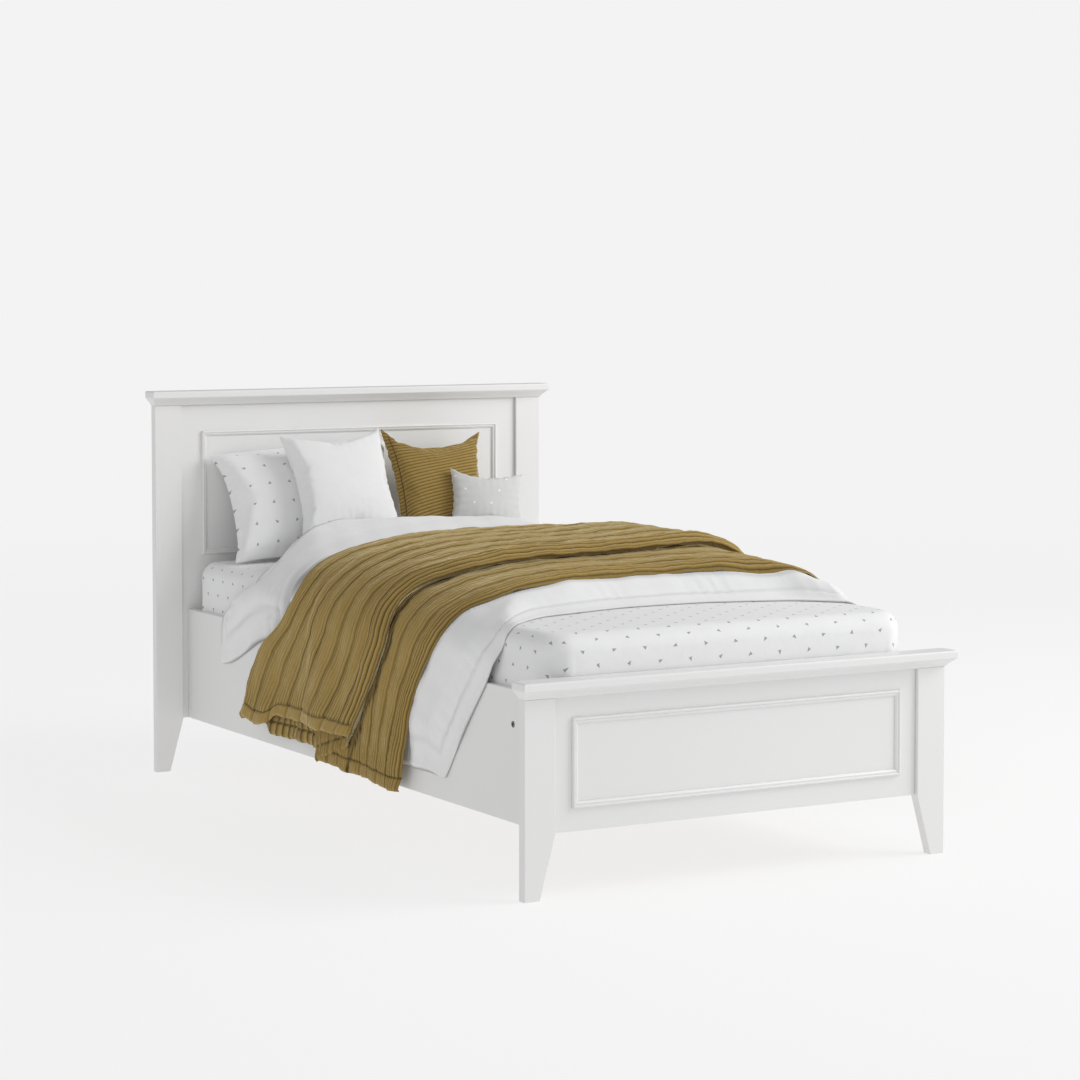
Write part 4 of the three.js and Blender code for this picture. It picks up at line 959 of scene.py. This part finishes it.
hem_steps = np.array([0, 0.003, 0.007, 0.014, 0.022, 0.028, 0.032, 0.035, 0.038, 0.042, 0.05])
half_lines = 1 - np.concatenate([hem_steps, np.linspace(0.062, 1.0, 48)])
throw_across = np.concatenate([-half_lines, half_lines[::-1][1:]])
bm, order = grid_sheet(len(throw_across) - 1, len(stations) - 1)
points, flat, bunched, stitches_and_painted_shade = throw_surface(throw_across)
map_grid(bm, order, flat)
for vert, place in zip(order, points.reshape(-1, 3)):
    vert.co = place
numbers = vertex_numbers(bm, order)
throw = make_piece(bm, "throw_cover", ochre)
give_amounts(throw, numbers, "bunched", bunched)
give_amounts(throw, numbers, "stitches_and_painted_shade", stitches_and_painted_shade)
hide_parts("throw")

# Pillow and cushions: stuffed covers that lean on the headboard and on each other.
# Each cover is two pieces of cloth sewn together on all sides. The filling swells the middle,
# which draws the sides in and puckers the cloth along the seams.

headboard_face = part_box("headboard_panel")[0].y
pillow_bottom = sheet_top + mattress_crown + 0.0004
cover_cells, half_seam = 54, 0.0015
filling_frames, furthest_swell = 20, 0.014
filled_cloth = dict(
    quality=5, mass=0.25, tension_stiffness=12, compression_stiffness=12, shear_stiffness=4,
    bending_stiffness=0.2, use_pressure=True, uniform_pressure_force=4, shrink_min=-0.05,
)


def read(items, key, size, kind=float):
    values = np.empty(size * len(items), kind)
    items.foreach_get(key, values)
    return values.reshape(-1, size)


def finer(piece, levels):
    """Subdivides the piece's mesh, and gives it with its corners as arrays."""
    fine = piece.modifiers.new("fine", "SUBSURF")
    fine.levels = fine.render_levels = levels
    shape = bpy.context.evaluated_depsgraph_get()
    data = bpy.data.meshes.new_from_object(
        piece.evaluated_get(shape), preserve_all_data_layers=True, depsgraph=shape)
    piece.modifiers.remove(fine)
    data.name, piece.data = piece.name, data
    place, normal = read(data.vertices, "co", 3), read(data.vertices, "normal", 3)
    corner = read(data.loops, "vertex_index", 1, int)[:, 0]
    flat = np.zeros((len(data.vertices), 2))
    flat[corner] = read(data.uv_layers["cloth"].data, "uv", 2)
    return data, place, normal, flat


def stuffed_cover(name, material, size, thickness, draw_in, flange, place, lean, turn=0, roll=0,
                  sag=0.0, ears=(), puckers=0.0014, ribs=None):
    """A sewn cover blown up by its filling, then stood on its lower edge and leaned back."""
    width, height = size
    bm, order = grid_sheet(cover_cells, cover_cells)
    twin = twin_of(bm)
    fullness = 0.92 * (thickness / 2 - half_seam)
    share_x, share_y = 2 * flange / width, 2 * flange / height
    flat_place = {}
    for vert in order:
        back = twin["vert_map"][vert]
        across, up = vert.co.x, vert.co.y
        flat_place[vert] = flat_place[back] = (across * width / 2, up * height / 2)
        dome = 1.0
        for value, share in ((across, share_x), (up, share_y)):
            inside = min(1, abs(value) / (1 - share))
            dome *= (1 - inside**2.4) ** 0.55
        x = across * width / 2 * (1 - draw_in * (1 - up**2))
        z = up * height / 2 * (1 - draw_in * (1 - across**2)) + height / 2
        z -= sag * max(0, up) ** 3 * (1 - across**2) * (1 - 0.35 * across)
        for ear_x, ear_z, out, raise_by in ears:
            pull = ((1 + ear_x * across) / 2 * (1 + ear_z * up) / 2) ** 3
            x, z = x + out * pull, z + raise_by * pull
        vert.co = (x, -half_seam - fullness * dome, z)
        back.co = (x, half_seam + fullness * dome, z)
    join_round(bm, twin)
    map_cloth(bm, lambda face, vert: flat_place[vert])
    piece = make_piece(bm, name, material)
    data = piece.data
    rest = read(data.vertices, "co", 3)
    cloth = piece.modifiers.new("filling", "CLOTH")
    for setting, value in filled_cloth.items():
        setattr(cloth.settings, setting, value)
    cloth.settings.effector_weights.gravity = 0
    cloth.collision_settings.use_collision = False
    cloth.point_cache.frame_start, cloth.point_cache.frame_end = 1, filling_frames
    for number in range(1, filling_frames + 1):
        scene.frame_set(number)
    shown = piece.evaluated_get(bpy.context.evaluated_depsgraph_get())
    moved = read(shown.data.vertices, "co", 3)
    piece.modifiers.remove(cloth)
    scene.frame_set(1)
    # Its weight keeps the cover's lower edge down, and its seams hold it to a small step.
    step = moved - rest
    step[:, 2] *= np.clip(rest[:, 2] / 0.1, 0.1, 1)
    far = np.linalg.norm(step, axis=1, keepdims=True)
    rest = rest + step * np.minimum(1, furthest_swell / np.maximum(far, 1e-9))
    stand = (
        Matrix.Translation((place[0], headboard_face - place[1], pillow_bottom + place[2]))
        @ Matrix.Rotation(math.radians(turn), 4, "Z")
        @ Matrix.Rotation(-math.radians(lean), 4, "X")
        @ Matrix.Rotation(math.radians(roll), 4, "Y")
    )
    turned = np.array(stand)
    placed = rest @ turned[:3, :3].T + turned[:3, 3]
    data.vertices.foreach_set("co", placed.ravel())
    data.update()
    data, rest, normal, flat = finer(piece, 2 if ribs else 1)
    from_side = (width / 2 - flange) - np.abs(flat[:, 0])
    from_end = (height / 2 - flange) - np.abs(flat[:, 1])
    from_seam = np.minimum(from_side, from_end)
    run = np.where(from_side < from_end, flat[:, 1], flat[:, 0])
    bumps = puckers * smooth(from_seam / 0.006) * np.exp(-np.maximum(from_seam, 0) / 0.024) * (
        np.sin(run * 232 + 2 * np.sin(run * 31)) + 0.4)
    if ribs:
        pitch, slope, depth = ribs
        cord = np.abs(np.cos(np.pi * (flat[:, 1] + slope * flat[:, 0]) / pitch))
        bumps = bumps + depth * (cord - 0.5) - 0.003 * np.exp(-((from_seam / 0.0025) ** 2))
    data.vertices.foreach_set("co", (rest + normal * bumps[:, None]).ravel())
    data.update()
    return piece


pillow_print = (0.062, 0.062, 0.0, 0.0092)
pillow_cotton = cotton("pillow_cotton", white_cloth, white_shade, pillow_print, grey_print)
pillow = stuffed_cover(
    "pillow_patterned_cover", pillow_cotton, (0.56, 0.38), 0.109, 0.06, 0,
    (-0.178, 0.1874, -0.0055), 28, ears=((-1, 1, -0.01, -0.034),),
)
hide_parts("pillow_patterned")

cushion_cotton = cotton("cushion_cotton", (0.86, 0.862, 0.865), (0.81, 0.812, 0.815))
white_cushion = stuffed_cover(
    "cushion_white_cover", cushion_cotton, (0.33, 0.32), 0.095, 0.06, 0,
    (-0.124, 0.2684, 0.0593), 28, ears=((1, 1, -0.008, 0.016), (1, -1, -0.012, 0)),
)
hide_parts("cushion_white")

cushion_pitch, cushion_slope = 0.0105, -0.18
ochre_rib = ochre_cloth("ochre_rib", cushion_pitch, cushion_slope, 0.7, (0.1465, 0.174))
ochre_cushion = stuffed_cover(
    "cushion_ochre_cover", ochre_rib, (0.325, 0.38), 0.1, 0.1, 0.016,
    (0.206, 0.2147, -0.0051), 22, -3, sag=0.024, ears=((1, 1, 0, -0.014),), puckers=0.0022,
    ribs=(cushion_pitch, cushion_slope, 0.0022),
)
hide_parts("cushion_ochre")

grey_marks = (0.05, 0.04, 0.5, 0.008, 0.35)  # only about a third of these marks are printed
grey_cotton = cotton(
    "grey_cotton", (0.69, 0.695, 0.685), (0.64, 0.645, 0.635), grey_marks, (0.9, 0.9, 0.9))
grey_cushion = stuffed_cover(
    "cushion_grey_cover", grey_cotton, (0.218, 0.172), 0.075, 0.06, 0,
    (0.294, 0.2768, 0.066), 20, -10, 6, sag=0.008,
)
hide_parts("cushion_grey")
